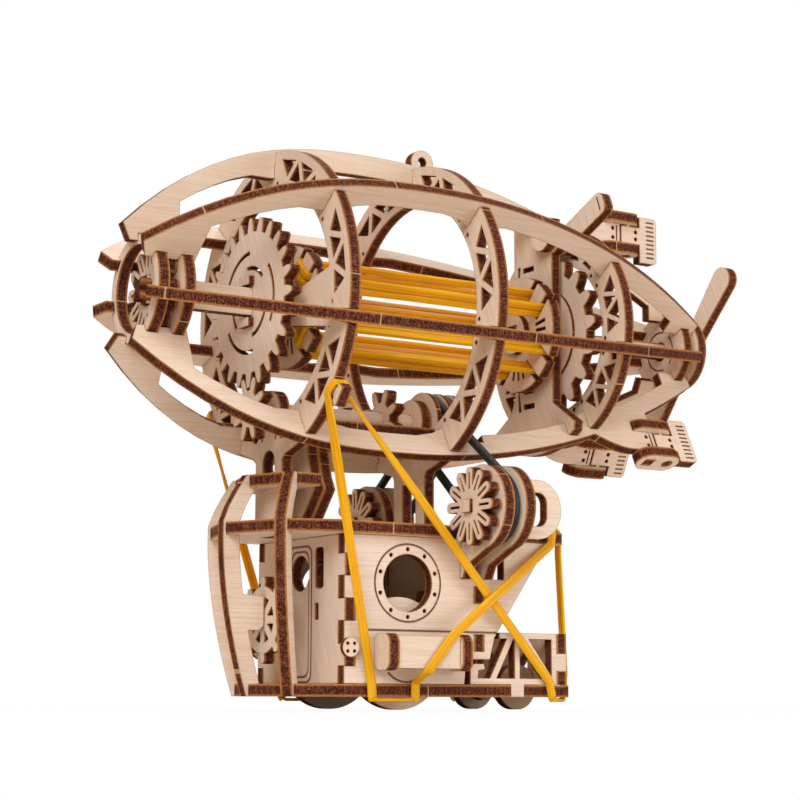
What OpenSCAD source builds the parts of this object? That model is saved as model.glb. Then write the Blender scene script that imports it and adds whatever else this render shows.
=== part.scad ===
// Plywood airship model: a ribbed hull with a rubber motor, hung over a wheeled gondola.
// Every flat piece is cut from one thickness of birch plywood and slotted together.
// X runs from nose to tail, -Y is the port side, Z is up and the wheels stand on Z = 0.

/* [Sheet] */
// Thickness of the plywood sheet
ply = 3; // [2.6:0.1:3.2]
// Gap in a slot that holds a fixed piece
fit = 0.1; // [0.05:0.01:0.15]
// Radial clearance of a turning shaft in its hole
run = 0.06; // [0.03:0.01:0.1]
// Free space between a moving plate and its neighbour
air = 0.4; // [0.3:0.05:0.5]
// Depth of an engraved line
engrave = 0.3; // [0.2:0.05:0.5]
// Width of an engraved line
line_w = 0.4; // [0.35:0.05:0.6]

/* [Hull] */
// Number of stringers around the hull
stringer_n = 7; // [7:1:7]
// Largest radius of the hull, over the stringers
hull_r = 42; // [41:0.5:44]
// Distance of the largest section ahead of the middle ring
crown_x = 12; // [8:0.5:16]
// Distance from the middle ring to the stringer tips at the nose
nose_x = 82; // [81:0.5:86]
// Hull radius at the nose tips
nose_r = 15.7; // [15:0.1:17]
// Fullness of the nose curve
nose_pow = 2.7; // [2.4:0.1:3]
// Distance from the middle ring to the stringer tips at the tail
tail_x = 89; // [88.5:0.5:94]
// Hull radius at the tail tips
tail_r = 12.2; // [12:0.1:13]
// Fullness of the tail curve
tail_pow = 2; // [1.9:0.05:2.1]
// Depth of a stringer between the rings
stringer_h = 5.5; // [5:0.1:6.2]
// Extra depth of a stringer where it crosses a ring
pad_h = 3.3; // [2.6:0.1:4]
// Half length of that deeper stretch
pad_l = 11; // [9:0.5:12]

/* [Rings] */
// Distance of the front ring ahead of the middle ring
ring1_x = 41; // [40:0.5:43]
// Distance of the rear ring behind the middle ring
ring3_x = 47.6; // [47:0.2:50]
// Radial width of a ring
ring_w = 9.5; // [9:0.1:10]
// How far the rings stay below the outer edge of the stringers
ring_inset = 0.8; // [0.5:0.1:1.2]
// Depth of the slots in the rings
lap = 3; // [2.5:0.1:3.5]
// Triangular windows between two stringers
truss_n = 4; // [3:1:5]

/* [Nose and tail] */
// Front face of the nose ring, ahead of the middle ring
nose_ring_x = 78; // [77.5:0.1:79]
// Outer radius of the nose ring and the nose bulkhead
nose_disc_r = 13.3; // [13:0.1:13.6]
// Radius of the opening in the nose ring
nose_hole_r = 10.8; // [10.2:0.1:11.2]
// Front face of the nose bulkhead, ahead of the middle ring
nose_wall_x = 71.2; // [70.8:0.1:71.4]
// Inner edge of the deep stringer web at the nose
nose_web_r = 11.6; // [11:0.1:12.4]
// Front face of the tail bulkhead
tail_wall_x = 84; // [83:0.5:85]
// Radius of the tail bulkhead and the tail cap
tail_disc_r = 10.4; // [10:0.1:10.8]
// Inner edge of the stringer web at the tail
tail_web_r = 8.4; // [8:0.1:9]
// Propeller radius
prop_r = 28.5; // [24:0.5:30]
// Propeller blade width
prop_w = 7; // [5.5:0.1:8]
// Angle of the propeller at rest
prop_angle = 131; // [0:1:180]
// Radius of the hanging eyelet
eyelet_r = 3.4; // [3:0.1:4]
// Radius of the hole in the hanging eyelet
eyelet_hole_r = 1.3; // [1:0.1:1.6]

/* [Fins] */
// Outer edge of the fixed fins
fin_r = 34.8; // [34:0.1:36]
// Where a fin starts to rise from its stringer
fin_x = 48; // [47:0.5:50]
// Hinge axis of the rudders
hinge_x = 72; // [71.5:0.1:73]
// Length of a rudder behind its hinge
rudder_l = 10; // [8:0.5:11]
// Radius of the rudder's hinge pins
pin_r = 1.5; // [1.3:0.05:1.6]
// Width of a hinge plate
clamp_w = 7; // [6.4:0.1:7.4]
// Length of a hinge plate between its round ends
clamp_l = 6.5; // [6:0.1:7]

/* [Drive] */
// Gear module
gear_m = 1.65; // [1.6:0.01:1.7]
// Teeth of the two large gears
gear_n = 24; // [24:1:24]
// Teeth of the rear gear, which only the brake reaches
rear_gear_n = 17; // [16:1:20]
// Teeth of the pinion and the cog on the lower shaft
pinion_n = 8; // [8:1:8]
// Extra distance between meshing gears
mesh_gap = 0.2; // [0.1:0.05:0.3]
// Front face of the front gear, ahead of the middle ring
front_gear_x = 47; // [46.5:0.5:48]
// Thickness of the front shaft bar
bar_t = 3; // [2.6:0.1:3.4]
// Height of the front shaft bar
bar_h = 7; // [6:0.2:7.6]
// Side of the square tail shaft
tail_bar = 4.2; // [3.8:0.1:4.6]
// Radius of the lower shaft
lay_r = 2; // [1.6:0.1:2.2]
// Front face of the cog on the lower shaft, ahead of the middle ring
cog_x = 9; // [8:0.5:12]
// Radius of the hook discs
hook_r = 15.5; // [15.5:0.1:16.5]
// Front face of the front hook disc, ahead of the middle ring
hook1_x = 36; // [35.5:0.1:36.1]
// Front face of the rear hook disc
hook2_x = 34.8; // [32:0.1:35.1]
// Front face of the strap that carries the tail shaft
strap_x = 39.8; // [39.5:0.1:40.5]
// Width of the strap
strap_w = 17; // [16:0.5:18]

/* [Rubber] */
// Thickness of a rubber band
band_t = 1.2; // [0.9:0.1:1.2]
// Height of a rubber band in the motor
band_h = 1.9; // [1.5:0.1:2]
// Hooks on each disc
hook_n = 4; // [4:1:4]
// Bands on each hook
band_n = 2; // [1:1:2]
// Half width of the hook that a band passes round
hook_half = 2.5; // [2:0.1:2.8]
// Width of a rigging band
rig_w = 2.3; // [1.8:0.1:2.5]
// Thickness of a rigging band
rig_t = 0.8; // [0.6:0.05:0.9]
// Thickness of a drive belt
belt_t = 2.2; // [1.8:0.1:2.4]

/* [Gondola] */
// Height of the hull axis above the deck
neck_h = 54.8; // [54.4:0.2:58]
// Height of the cabin between floor and deck
cabin_h = 35.7; // [35.2:0.1:38]
// Outer width of the cabin
cabin_w = 43; // [42.6:0.1:43.6]
// Front face of the cabin, ahead of the middle ring
cabin_x = 31.7; // [31.5:0.1:33]
// Front face of the cabin's rear wall
back_x = 5.5; // [4:0.1:6]
// Rear end of the walls at the deck
wall_top_x = 28.3; // [26:0.1:29]
// Rear end of the walls at the floor
wall_low_x = 8.6; // [8.2:0.1:9.4]
// Rear end of the deck
deck_end_x = 35; // [34.8:0.1:36]
// Half width of the deck ahead of the engines
deck_half = 23.5; // [22.5:0.1:24]
// Half width of the deck beside the engines
deck_aft_half = 20; // [18.5:0.1:20.2]
// Rear end of the floor
floor_end_x = 34.4; // [34.2:0.1:35]
// Height of the roof's underside above the deck
roof_h = 8.8; // [8:0.1:9.4]
// Rear end of the roof, behind the face of the front ring
roof_tail = 7; // [6:0.1:8]
// Porthole radius
port_r = 7; // [6:0.1:7.4]
// Radius of the ring engraved round the porthole
port_ring_r = 9.4; // [8.8:0.1:10]
// Height of the stern rails
rail_h = 12.9; // [11:0.1:13.4]
// Width of a rail's bars
rail_bar = 1.5; // [1.3:0.1:1.8]

/* [Bow] */
// Tip of the floor, ahead of the middle ring
bow_x = 47.1; // [46.5:0.1:48]
// How far the deck stands out over the floor at the posts
bow_bulge = 6.8; // [5:0.1:8]
// How far the roof stands out over the floor at the posts
roof_bulge = 0.5; // [0:0.1:1.5]
// Corner of the floor, ahead of the middle ring
bow_corner_x = 42.7; // [42.2:0.1:43.4]
// Corner of the floor, out from the centre
bow_corner_y = 13.7; // [13:0.1:14.4]
// Depth of a bow post
post_w = 4.4; // [4:0.1:5]
// Helm wheel radius
helm_r = 10.6; // [9.6:0.1:11]
// Height of the helm's axis above the floor
helm_h = 15.4; // [15:0.1:17]

/* [Engines] */
// Distance of an engine's axis from the centre plane
engine_y = 30.3; // [30:0.1:31.5]
// Depth of an engine's axis below the hull axis
engine_z = 50.5; // [49.5:0.1:51]
// Radius of an engine's flanges
flange_r = 10.4; // [10:0.1:10.6]
// Front face of the port engine's front flange
engine_x = 1.5; // [1.4:0.1:1.6]
// Space between an engine's flanges
engine_gap = 3.2; // [3:0.05:3.3]
// Radius of the engine fans
fan_r = 9.6; // [9:0.1:9.8]
// Petals of a fan
petal_n = 12; // [10:1:12]
// Radius of an engine's shaft
engine_shaft_r = 2; // [1.6:0.1:2.2]
// Groove radius of an engine's pulley
engine_pulley_r = 7; // [6.5:0.1:7.2]
// Groove radius of the pulleys on the lower shaft
hull_pulley_r = 5.6; // [5:0.1:5.8]
// Flange radius of the pulleys on the lower shaft
hull_flange_r = 8.2; // [7.6:0.1:8.6]

/* [Wheels] */
// How far the floor's underside stands above the ground
ride_h = 3.1; // [2.6:0.1:3.6]
// Front wheel radius
wheel_r = 13.6; // [13:0.1:14]
// Front axle, ahead of the middle ring
wheel_x = 14.2; // [14:0.1:14.6]
// Half of the front track
wheel_y = 16.3; // [15.8:0.1:16.4]
// Radius of the front axle
axle_r = 2; // [1.5:0.1:2.4]
// Rear wheel radius
tail_wheel_r = 5.7; // [5.4:0.1:6]
// Rear axle, behind the middle ring
tail_wheel_x = 26; // [25.5:0.1:26.5]
// Half of the rear track
tail_wheel_y = 9.5; // [9:0.1:10]
// Radius of the rear axle
tail_axle_r = 1.5; // [1.2:0.1:1.7]

/* [Hidden] */
$fn = 64;
birch = [0.92, 0.82, 0.68];
shade = [0.80, 0.66, 0.48];
rubber = [0.90, 0.66, 0.08];
black = [0.10, 0.10, 0.11];
turn = 360 / stringer_n;
cut = 60;

// Levels below the hull axis
deck_top = -neck_h;
deck_low = deck_top - ply;
floor_top = deck_low - cabin_h;
floor_low = floor_top - ply;
ground = floor_low - ride_h;
roof_low = deck_top + roof_h;
roof_top = roof_low + ply;
cabin_half = cabin_w / 2;
cabin_in = cabin_half - ply;

// Stations along the hull, negative towards the nose
nose_ring = -nose_ring_x;
nose_wall = -nose_wall_x;
nose_web_end = nose_wall + ply + 1;
nose_fan_x = nose_wall - air - ply;
gear1 = -front_gear_x;
ring1 = -ring1_x;
ring2 = 0;
ring3 = ring3_x;
hook1 = -hook1_x;
hook2 = hook2_x;
gear2 = ring3 - air - 0.1 - ply;
tail_cap_x = tail_x + fit;
prop_x = tail_cap_x + ply + air;
shaft_end_x = prop_x + ply + 1;
middle_x = (shaft_end_x - nose_x) / 2;

// Outline of the hull
function hull_out(x) =
    x < -crown_x
    ? hull_r - (hull_r - nose_r) * pow((-crown_x - x) / (nose_x - crown_x), nose_pow)
    : hull_r - (hull_r - tail_r) * pow((x + crown_x) / (tail_x + crown_x), tail_pow);
function pad(x, ring) = pad_h * pow(max(0, 1 - abs(x - ring - ply / 2) / pad_l), 2);
function hull_in(x) = hull_out(x) - stringer_h - pad(x, ring1) - pad(x, ring2) - pad(x, ring3);
ring1_r = hull_out(ring1) - ring_inset;
ring2_r = hull_out(ring2 + ply) - ring_inset;
ring3_r = hull_out(ring3 + ply) - ring_inset;
strap_r = hull_out(strap_x + ply) - ring_inset;
// Inner face of the lower hinge plate, and the lower edge of the rudder's trailing part
clamp_r = fin_r - 8.6;
rudder_r = fin_r - 10.3;
tail_web_x = tail_wall_x - 5;
curve_n = 30;

// Direction of stringer i in the plane of a ring
function spoke(i) = 90 + i * turn;
top = 0;
port_lower = 3;
starboard_lower = 4;

// Gears and shafts
gear_r = gear_m * gear_n / 2;
pinion_r = gear_m * pinion_n / 2;
gear_tip = gear_r + 0.95 * gear_m;
pinion_tip = pinion_r + 0.9 * gear_m;
lay_z = -(gear_r + pinion_r + mesh_gap);
bar_r = norm([bar_t, bar_h]) / 2 - 0.05;
tail_bar_r = norm([tail_bar, tail_bar]) / 2 - 0.35;
lever_y = -8;
lever_z = gear_tip + 4.4;
lever_tip = [-23.7, lever_z + 6.8];

// Engines and belts
belt_room = engine_gap / 2;
belt1_x = engine_x + ply + belt_room;
starboard_shift = belt_t + 1.6;
belt2_x = belt1_x + starboard_shift;
fan_x = engine_x - air - ply;
engine_end_x = engine_x + 2 * ply + engine_gap;
arm_z = -engine_z - flange_r - 4;
arm_h = 5;
belt_gap = 0.1;
belt_bridge = 3.4;
belt_slot_r = hull_out(belt2_x + belt_t / 2 + air) - belt_bridge;
pulley_x = ring2 + ply + air;
pulley_wall = belt1_x - belt_t / 2 - 0.2 - pulley_x;
pulley_end_x = belt2_x + belt_t / 2 + 0.2 + pulley_wall;

// Wheels
axle_z = ground + wheel_r;
tail_axle_z = ground + tail_wheel_r;

// Rails and tanks
rail_x = wall_low_x + 3.6;
rail_end_x = floor_end_x - 0.6;
tank_z = floor_top + 7.6;
tank_h = 8.8;
tank_d = 6.8;
tank_x = -23.5;
tank_end_x = -2.5;

// Placing helpers

module model() {
    translate([-middle_x, 0, -ground]) children();
}

// A sheet square to X: the drawing's axes become Y and Z
module sheet_x(x, t = ply) {
    translate([x, 0, 0]) rotate([90, 0, 90]) linear_extrude(t) children();
}

// A sheet square to Y: the drawing's axes become X and Z
module sheet_y(y, t = ply) {
    translate([0, y + t, 0]) rotate([90, 0, 0]) linear_extrude(t) children();
}

// A sheet square to Z
module sheet_z(z, t = ply) {
    translate([0, 0, z]) linear_extrude(t) children();
}

// A sheet in the plane of stringer i: the drawing's axes become X and the radius
module sheet_radial(i, t = ply) {
    rotate([i * turn, 0, 0]) sheet_y(-t / 2, t) children();
}

module rod_x(x, l, r) {
    translate([x, 0, 0]) rotate([0, 90, 0]) cylinder(h = l, r = r);
}

module both_sides() {
    children();
    mirror([0, 1, 0]) children();
}

// Drawing helpers

// Points taken anticlockwise, so that overlapping outlines join into one sheet
function turned(list) = [for (i = [len(list) - 1:-1:0]) list[i]];
function crossings(p) = [for (i = [0:len(p) - 1]) cross(p[i], p[(i + 1) % len(p)])];
function leftward(p) = crossings(p) * [for (i = p) 1] < 0 ? turned(p) : p;

module outline(points) {
    polygon(leftward(points));
}

module round_box(w, h, r) {
    square([w - 2 * r, h], center = true);
    square([w, h - 2 * r], center = true);
    for (sx = [-1, 1], sy = [-1, 1])
        translate([sx * (w / 2 - r), sy * (h / 2 - r)]) circle(r);
}

module wedge(r, a0, a1) {
    steps = 8;
    outline(concat([[0, 0]], [for (i = [0:steps]) let (a = a0 + (a1 - a0) * i / steps)
        [r * cos(a), r * sin(a)] * 1.2]));
}

module arc_slot(r, w, a0, a1) {
    intersection() {
        difference() {
            circle(r + w / 2);
            circle(r - w / 2);
        }
        wedge(r + w, a0, a1);
    }
}

// Straight-flanked teeth, cut back enough to roll without touching
module gear_outline(n, r, tip) {
    step = 360 / n;
    root = r - 1.2 * gear_m;
    low = 0.30 * step;
    mid = 0.215 * step;
    high = 0.10 * step;
    outline([for (i = [0:n - 1], p = [[root, -low], [r, -mid], [tip, -high], [tip, high], [r, mid], [root, low]])
        p[0] * [cos(i * step + p[1]), sin(i * step + p[1])]]);
}

// A flower of narrow petals with a slit in each one
module petals(r, hub) {
    w = 0.62 * 2 * PI * (r - 1.5) / petal_n;
    slit = w * 0.2;
    difference() {
        union() {
            circle(hub);
            for (i = [0:petal_n - 1]) rotate(i * 360 / petal_n) {
                translate([0, -w / 2]) square([r - w / 2, w]);
                translate([r - w / 2, 0]) circle(w / 2);
            }
        }
        for (i = [0:petal_n - 1]) rotate(i * 360 / petal_n)
            translate([hub + 0.6, -slit / 2]) square([r - w / 2 - hub - 0.6, slit]);
    }
}

// Hull frame

module slots(r, list) {
    for (i = list) rotate(spoke(i))
        translate([r - lap - fit, -ply / 2 - fit]) square([lap + 8, ply + 2 * fit]);
}

module truss_windows(r) {
    outer = r - 1.4;
    inner = r - ring_w + 1.6;
    margin = 6;
    step = (turn - 2 * margin) / (truss_n + 1);
    for (i = [0:stringer_n - 1], j = [0:truss_n - 1]) {
        a = spoke(i) + margin + j * step;
        out = j % 2 == 0;
        base = out ? outer : inner;
        peak = out ? inner : outer;
        corners = [
            base * [cos(a), sin(a)],
            base * [cos(a + 2 * step), sin(a + 2 * step)],
            peak * [cos(a + step), sin(a + step)]];
        mid = (corners[0] + corners[1] + corners[2]) / 3;
        outline([for (c = corners) mid + 0.69 * (c - mid)]);
    }
}

module ring_outline(r) {
    difference() {
        circle(r);
        circle(r - ring_w);
        truss_windows(r);
        for (i = [0:stringer_n - 1], s = [-1, 1])
            rotate(spoke(i) + s * 5.2) translate([r - ring_w + 1.3, 0]) circle(0.55);
    }
}

// A leg that carries the hull on the deck, with a tab through the deck
module leg_outline(r, top_half, half, tab0, tab1) {
    knee = -r + 1;
    outline([[-top_half, -r + ring_w / 2], [top_half, -r + ring_w / 2], [half, knee - 1.4],
        [half, deck_top + fit], [-half, deck_top + fit], [-half, knee - 1.4]]);
    for (s = [-1, 1])
        translate([s * (tab0 + tab1) / 2 - (tab1 - tab0) / 2, deck_low])
            square([tab1 - tab0, ply + 1]);
}

// The web that carries the lower shaft's boss on its ring
module boss_web(r) {
    translate([-3, -r + ring_w / 2]) square([6, r - ring_w / 2 + lay_z]);
}

leg1_half = 6.6;
arch_r = 3.1;
leg2_half = 7.2;
leg_tab = 4;
hook_angle = 219;

module band_hook() {
    for (a = [hook_angle, 540 - hook_angle]) rotate(a) {
        translate([ring1_r - 1, -1.3]) square([4, 2.6]);
        translate([ring1_r + 2.6, -2.6]) square([2, 5.2]);
    }
}

module ring_front() model() color(birch) difference() {
    sheet_x(ring1) difference() {
        union() {
            ring_outline(ring1_r);
            leg_outline(ring1_r, 12.5, leg1_half, 0, leg_tab);
            band_hook();
            circle(8);
            translate([0, lay_z]) circle(5);
            boss_web(ring1_r);
            for (s = [-1, 1])
                outline([[s * 5, -6], [s * 5, 2], [s * 11, 1], [s * (ring1_r - ring_w + 1), 5],
                    [s * (ring1_r - ring_w + 1), -10]]);
        }
        slots(ring1_r, [0:stringer_n - 1]);
        circle(bar_r + run);
        translate([0, lay_z]) circle(lay_r + run);
        translate([0, roof_top + 3.4]) circle(arch_r);
        translate([-arch_r, roof_top]) square([2 * arch_r, 3.4]);
        keel_tabs(fit);
    }
}

module ring_middle() model() color(birch) sheet_x(ring2) difference() {
    union() {
        ring_outline(ring2_r);
        leg_outline(ring2_r, 10.5, leg2_half, 3.4, leg2_half - 0.2);
        translate([0, lay_z]) circle(6);
        boss_web(ring2_r);
    }
    slots(ring2_r, [0:stringer_n - 1]);
    translate([0, lay_z]) circle(lay_r + run);
    translate([-3.2, deck_top - 1]) square([6.4, -ring2_r - deck_top - 1]);
    keel_tabs(fit);
}

module ring_rear() model() color(birch) sheet_x(ring3) difference() {
    ring_outline(ring3_r);
    slots(ring3_r, [0:stringer_n - 1]);
    translate([-ring3_r + 3.6, -9]) square([2, 2]);
}

// Keel plate between the front and middle rings
keel_top = lay_z - lay_r - 0.8;
keel_half = 12.4;

module keel_tabs(grow = 0) {
    for (s = [-1, 1])
        translate([s * 7.5 - 2 - grow, keel_top - ply - grow]) square([4 + 2 * grow, ply + 2 * grow]);
}

module keel_plate() model() color(birch) sheet_z(keel_top - ply) difference() {
    union() {
        translate([ring1 + ply + fit, -keel_half]) square([ring2 - ring1 - ply - 2 * fit, 2 * keel_half]);
        for (s = [-1, 1])
            translate([ring1, s * 7.5 - 2]) square([ring2 - ring1 + ply, 4]);
    }
    translate([-cog_x - 1, -pinion_tip]) square([ply + 2, 2 * pinion_tip]);
    for (x = [-24, -16]) translate([x, 0]) round_box(5, 14, 1.5);
}

// Stringers

module notch(x, r) {
    translate([x - fit, -1]) square([ply + 2 * fit, r + 1]);
}

module fin_outline() {
    foot = hull_out(fin_x) - 1;
    rise = 13;
    back = hinge_x - 3.1;
    steps = 8;
    outline(concat(
        [for (i = [0:steps]) [fin_x + rise * i / steps, foot + (fin_r - foot) * sin(90 * i / steps)]],
        [[back, fin_r], [back, hull_out(back) - 3], [fin_x + rise, hull_out(fin_x + rise) - 3],
            [fin_x, hull_out(fin_x) - 3]]));
}

module fin_tab() {
    translate([clamp_x + 0.1, fin_r - 1]) square([3, ply + 1 + fit]);
}

clamp_x = hinge_x - clamp_l - 1.5;

module stringer_outline(finned) {
    difference() {
        union() {
            outline(concat(
                [for (i = [0:curve_n]) let (x = -nose_x + i * (nose_x + tail_x) / curve_n) [x, hull_out(x)]],
                [[tail_x, tail_web_r], [tail_web_x, tail_web_r]],
                [for (i = [curve_n:-1:0]) let (x = nose_web_end + i * (tail_web_x - nose_web_end) / curve_n)
                    [x, hull_in(x)]],
                [[nose_web_end, nose_web_r], [-nose_x + 1.8, nose_web_r]]));
            if (finned) {
                fin_outline();
                fin_tab();
            }
        }
        notch(ring1, ring1_r - lap);
        notch(ring2, ring2_r - lap);
        notch(ring3, ring3_r - lap);
        notch(nose_ring, nose_disc_r + fit);
        notch(nose_wall, nose_disc_r + fit);
        notch(tail_wall_x, tail_disc_r + fit);
        if (finned) {
            notch(strap_x, strap_r - lap);
            translate([clamp_x + 3.2, clamp_r - fit]) square([6, ply + 2 * fit]);
        }
    }
}

module fin_marks() {
    translate([0, 0, ply / 2]) children();
}

module stringer(i) {
    finned = i == top || i == port_lower || i == starboard_lower;
    belted = i == port_lower || i == starboard_lower;
    difference() {
        sheet_radial(i) difference() {
            union() {
                stringer_outline(finned);
                if (i == top) translate([ring2 + ply, hull_r + 0.6]) circle(eyelet_r);
            }
            if (i == top) translate([ring2 + ply, hull_r + 0.8]) circle(eyelet_hole_r);
            if (belted)
                translate([belt1_x - belt_t / 2 - air, 0])
                    square([starboard_shift + belt_t + 2 * air, belt_slot_r]);
            if (finned) for (k = [-1, 1])
                translate([hinge_x - 5.5, (clamp_r + ply + fin_r) / 2 + 1.3 * k]) circle(0.55);
        }
        if (finned) for (s = [-1, 1])
            rotate([i * turn, 0, 0]) translate([0, s * ply / 2, 0])
                translate([hinge_x - 4.4, -engrave, clamp_r + ply + 0.6])
                    cube([line_w, 2 * engrave, fin_r - clamp_r - ply - 1.2]);
    }
}

module stringer_top() model() color(birch) stringer(0);
module stringer_port_upper() model() color(birch) stringer(1);
module stringer_port_side() model() color(birch) stringer(2);
module stringer_port_lower() model() color(birch) stringer(3);
module stringer_starboard_lower() model() color(birch) stringer(4);
module stringer_starboard_side() model() color(birch) stringer(5);
module stringer_starboard_upper() model() color(birch) stringer(6);

module nose_ring() model() color(birch) sheet_x(nose_ring) difference() {
    circle(nose_disc_r);
    circle(nose_hole_r);
}

module nose_bulkhead() model() color(birch) sheet_x(nose_wall) difference() {
    circle(nose_disc_r);
    circle(bar_r + run);
}

module tail_bulkhead() model() color(birch) difference() {
    sheet_x(tail_wall_x) difference() {
        circle(tail_disc_r);
        circle(tail_bar_r + run);
    }
    sheet_x(tail_wall_x - engrave, 2 * engrave)
        for (a = [15, 135, 255]) arc_slot(5.4, line_w, a, a + 90);
}

module tail_cap() model() color(birch) sheet_x(tail_cap_x) difference() {
    circle(tail_disc_r);
    circle(tail_bar_r + run);
}

// Strap across the hull that carries the tail shaft and the brake
module motor_strap() model() color(birch) sheet_x(strap_x) difference() {
    intersection() {
        union() {
            translate([-strap_w / 2, -strap_r]) square([strap_w, 2 * strap_r]);
            translate([lever_y, lever_z]) circle(4.4);
            outline([[-strap_w / 2, -19], [-18, -25], [-15, -40], [15, -40], [18, -25], [strap_w / 2, -19]]);
        }
        circle(strap_r);
    }
    slots(strap_r, [top, port_lower, starboard_lower]);
    circle(tail_bar_r + run);
    translate([lever_y, lever_z]) circle(pin_r + run);
    for (z = [14.6, 18.8, -14.6, -18.8]) translate([2, z]) square([5, 1.4], center = true);
    for (s = [-1, 1]) outline([[6.8, s * 12], [6.8, s * 20], [4.2 + 1.4, s * 20]]);
}

// Hinge plates of the three rudders
module clamp_outline(open) {
    difference() {
        union() {
            translate([hinge_x - clamp_l, -clamp_w / 2]) square([clamp_l, clamp_w]);
            for (x = [hinge_x - clamp_l, hinge_x]) translate([x, 0]) circle(clamp_w / 2);
        }
        translate([hinge_x, 0]) circle(pin_r + run);
        if (open)
            translate([clamp_x - 8, -ply / 2 - fit]) square([11.2, ply + 2 * fit]);
        else
            translate([clamp_x, -ply / 2 - fit]) square([3.2, ply + 2 * fit]);
    }
}

module fin_clamps() model() color(birch) for (i = [top, port_lower, starboard_lower])
    rotate([i * turn, 0, 0]) {
        sheet_z(clamp_r) clamp_outline(true);
        sheet_z(fin_r + fit) clamp_outline(false);
    }

// Rudders
module rudder(i) {
    low = clamp_r + ply + air;
    high = fin_r + fit - air;
    front = hinge_x - 2.5;
    step = hinge_x + clamp_w / 2 + 0.5;
    end = hinge_x + rudder_l;
    rim = fin_r + ply - 0.2;
    tick_n = 9;
    tick = (rim - rudder_r - 3) / (tick_n - 1);
    rotate([i * turn, 0, 0]) difference() {
        union() {
            sheet_y(-ply / 2) outline([[front, low], [step, low], [step, rudder_r], [end - 0.8, rudder_r],
                [end, rudder_r + 0.8], [end, rim - 0.8], [end - 0.8, rim], [step, rim], [step, high], [front, high]]);
            translate([hinge_x, 0, clamp_r + 0.2]) cylinder(h = low - clamp_r, r = pin_r);
            translate([hinge_x, 0, high - 0.2]) cylinder(h = fin_r + ply - high, r = pin_r);
        }
        for (s = [-1, 1], k = [0:tick_n - 1])
            translate([end - 3.6, s * ply / 2 - engrave, rudder_r + 1.5 + k * tick]) cube([2.6, 2 * engrave, line_w]);
        for (k = [-1, 1]) translate([hinge_x + 2.6, ply, (low + high) / 2 + k])
            rotate([90, 0, 0]) cylinder(h = 2 * ply, r = 0.55);
    }
}

module rudder_top() model() color(birch) rudder(top);
module rudder_port() model() color(birch) rudder(port_lower);
module rudder_starboard() model() color(birch) rudder(starboard_lower);

// Gondola

function bow_dir(s) = [-0.727, s * 0.687];
function corner(s, out) = [-bow_corner_x, s * bow_corner_y] + out * bow_dir(s);

module bow_slots(out) {
    depth = 3.2;
    translate([-bow_x - out - 2, -ply / 2 - fit]) square([2 + depth, ply + 2 * fit]);
    for (s = [-1, 1]) translate(corner(s, out - depth)) rotate(atan2(s * 0.687, -0.727))
        translate([0, -ply / 2 - fit]) square([depth + 3, ply + 2 * fit]);
}

function deck_side(s) = [
    corner(s, bow_bulge), [-cabin_x - 3.3, s * deck_half], [fan_x - 0.9, s * deck_half],
    [fan_x - 0.9, s * deck_aft_half], [deck_end_x - 1.5, s * deck_aft_half],
    [deck_end_x, s * (deck_aft_half - 1.5)]];

module deck() model() color(birch) sheet_z(deck_low) difference() {
    outline(concat([[-bow_x - bow_bulge, 0]], deck_side(-1), turned(deck_side(1))));
    bow_slots(bow_bulge);
    translate([ring1 - fit, -leg_tab - fit]) square([ply + 2 * fit, 2 * leg_tab + 2 * fit]);
    for (s = [-1, 1]) translate([ring2 - fit, s * (leg2_half + 3.2) / 2 - 1.9 - fit])
        square([ply + 2 * fit, 3.8 + 2 * fit]);
}

function floor_side(s) = [
    corner(s, 0), [-cabin_x, s * cabin_half], [floor_end_x, s * cabin_half]];

module floor() model() color(birch) sheet_z(floor_low) difference() {
    outline(concat([[-bow_x, 0]], floor_side(-1), turned(floor_side(1))));
    bow_slots(0);
    half = sqrt(pow(wheel_r, 2) - pow(axle_z - floor_top, 2)) + 0.8;
    for (s = [-1, 1]) {
        translate([-wheel_x - half, s * wheel_y - ply / 2 - air]) square([2 * half, ply + 2 * air]);
        translate([rail_tab_x - fit, s * cabin_half - (s > 0 ? ply + fit : 1)]) square([4 + 2 * fit, ply + fit + 1]);
    }
    bay = tail_wheel_r + 0.7;
    for (s = [-1, 1]) {
        translate([tail_wheel_x, s * tail_wheel_y]) square([2 * bay, ply + 2 * air], center = true);
        translate([tail_wheel_x, s * bracket_y]) square([2 * bracket_r + 1, ply + 2 * fit], center = true);
    }
    translate([tail_wheel_x, 0]) square([2 * tail_axle_r + 2 * air, 2 * tail_wheel_y + ply + 2], center = true);
}

function roof_side(s) = [corner(s, roof_bulge), [ring1 + roof_tail, s * bow_corner_y]];

module roof() model() color(birch) sheet_z(roof_low) difference() {
    outline(concat([[-bow_x - roof_bulge, 0]], roof_side(-1), turned(roof_side(1))));
    bow_slots(roof_bulge);
    translate([ring1 - fit, -leg1_half - fit]) square([ply + 2 * fit, 2 * leg1_half + 2 * fit]);
}

// Bow posts: out is the distance from the floor's edge at that post
function post_out(z) =
    z > deck_top
    ? bow_bulge + (roof_bulge - bow_bulge) * pow((z - deck_top) / (roof_top - deck_top), 1.3)
    : bow_bulge * (1 - pow(max(0, (deck_low - z) / (deck_low - floor_low)), 1.8));

module post_notch(z, out) {
    translate([out - 3.1 - cut, z - fit]) square([cut, ply + 2 * fit]);
}

module post_outline() {
    steps = 14;
    zs = [for (i = [0:steps]) floor_low + (roof_top - floor_low) * i / steps];
    difference() {
        outline(concat(
            [for (z = zs) [post_out(z), z]],
            [for (i = [steps:-1:0]) [post_out(zs[i]) - post_w, zs[i]]]));
        post_notch(floor_low, 0);
        post_notch(deck_low, bow_bulge);
        post_notch(roof_low, roof_bulge);
    }
}

helm_z = floor_top + helm_h;
helm_x = -bow_x + 4.9;

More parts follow.
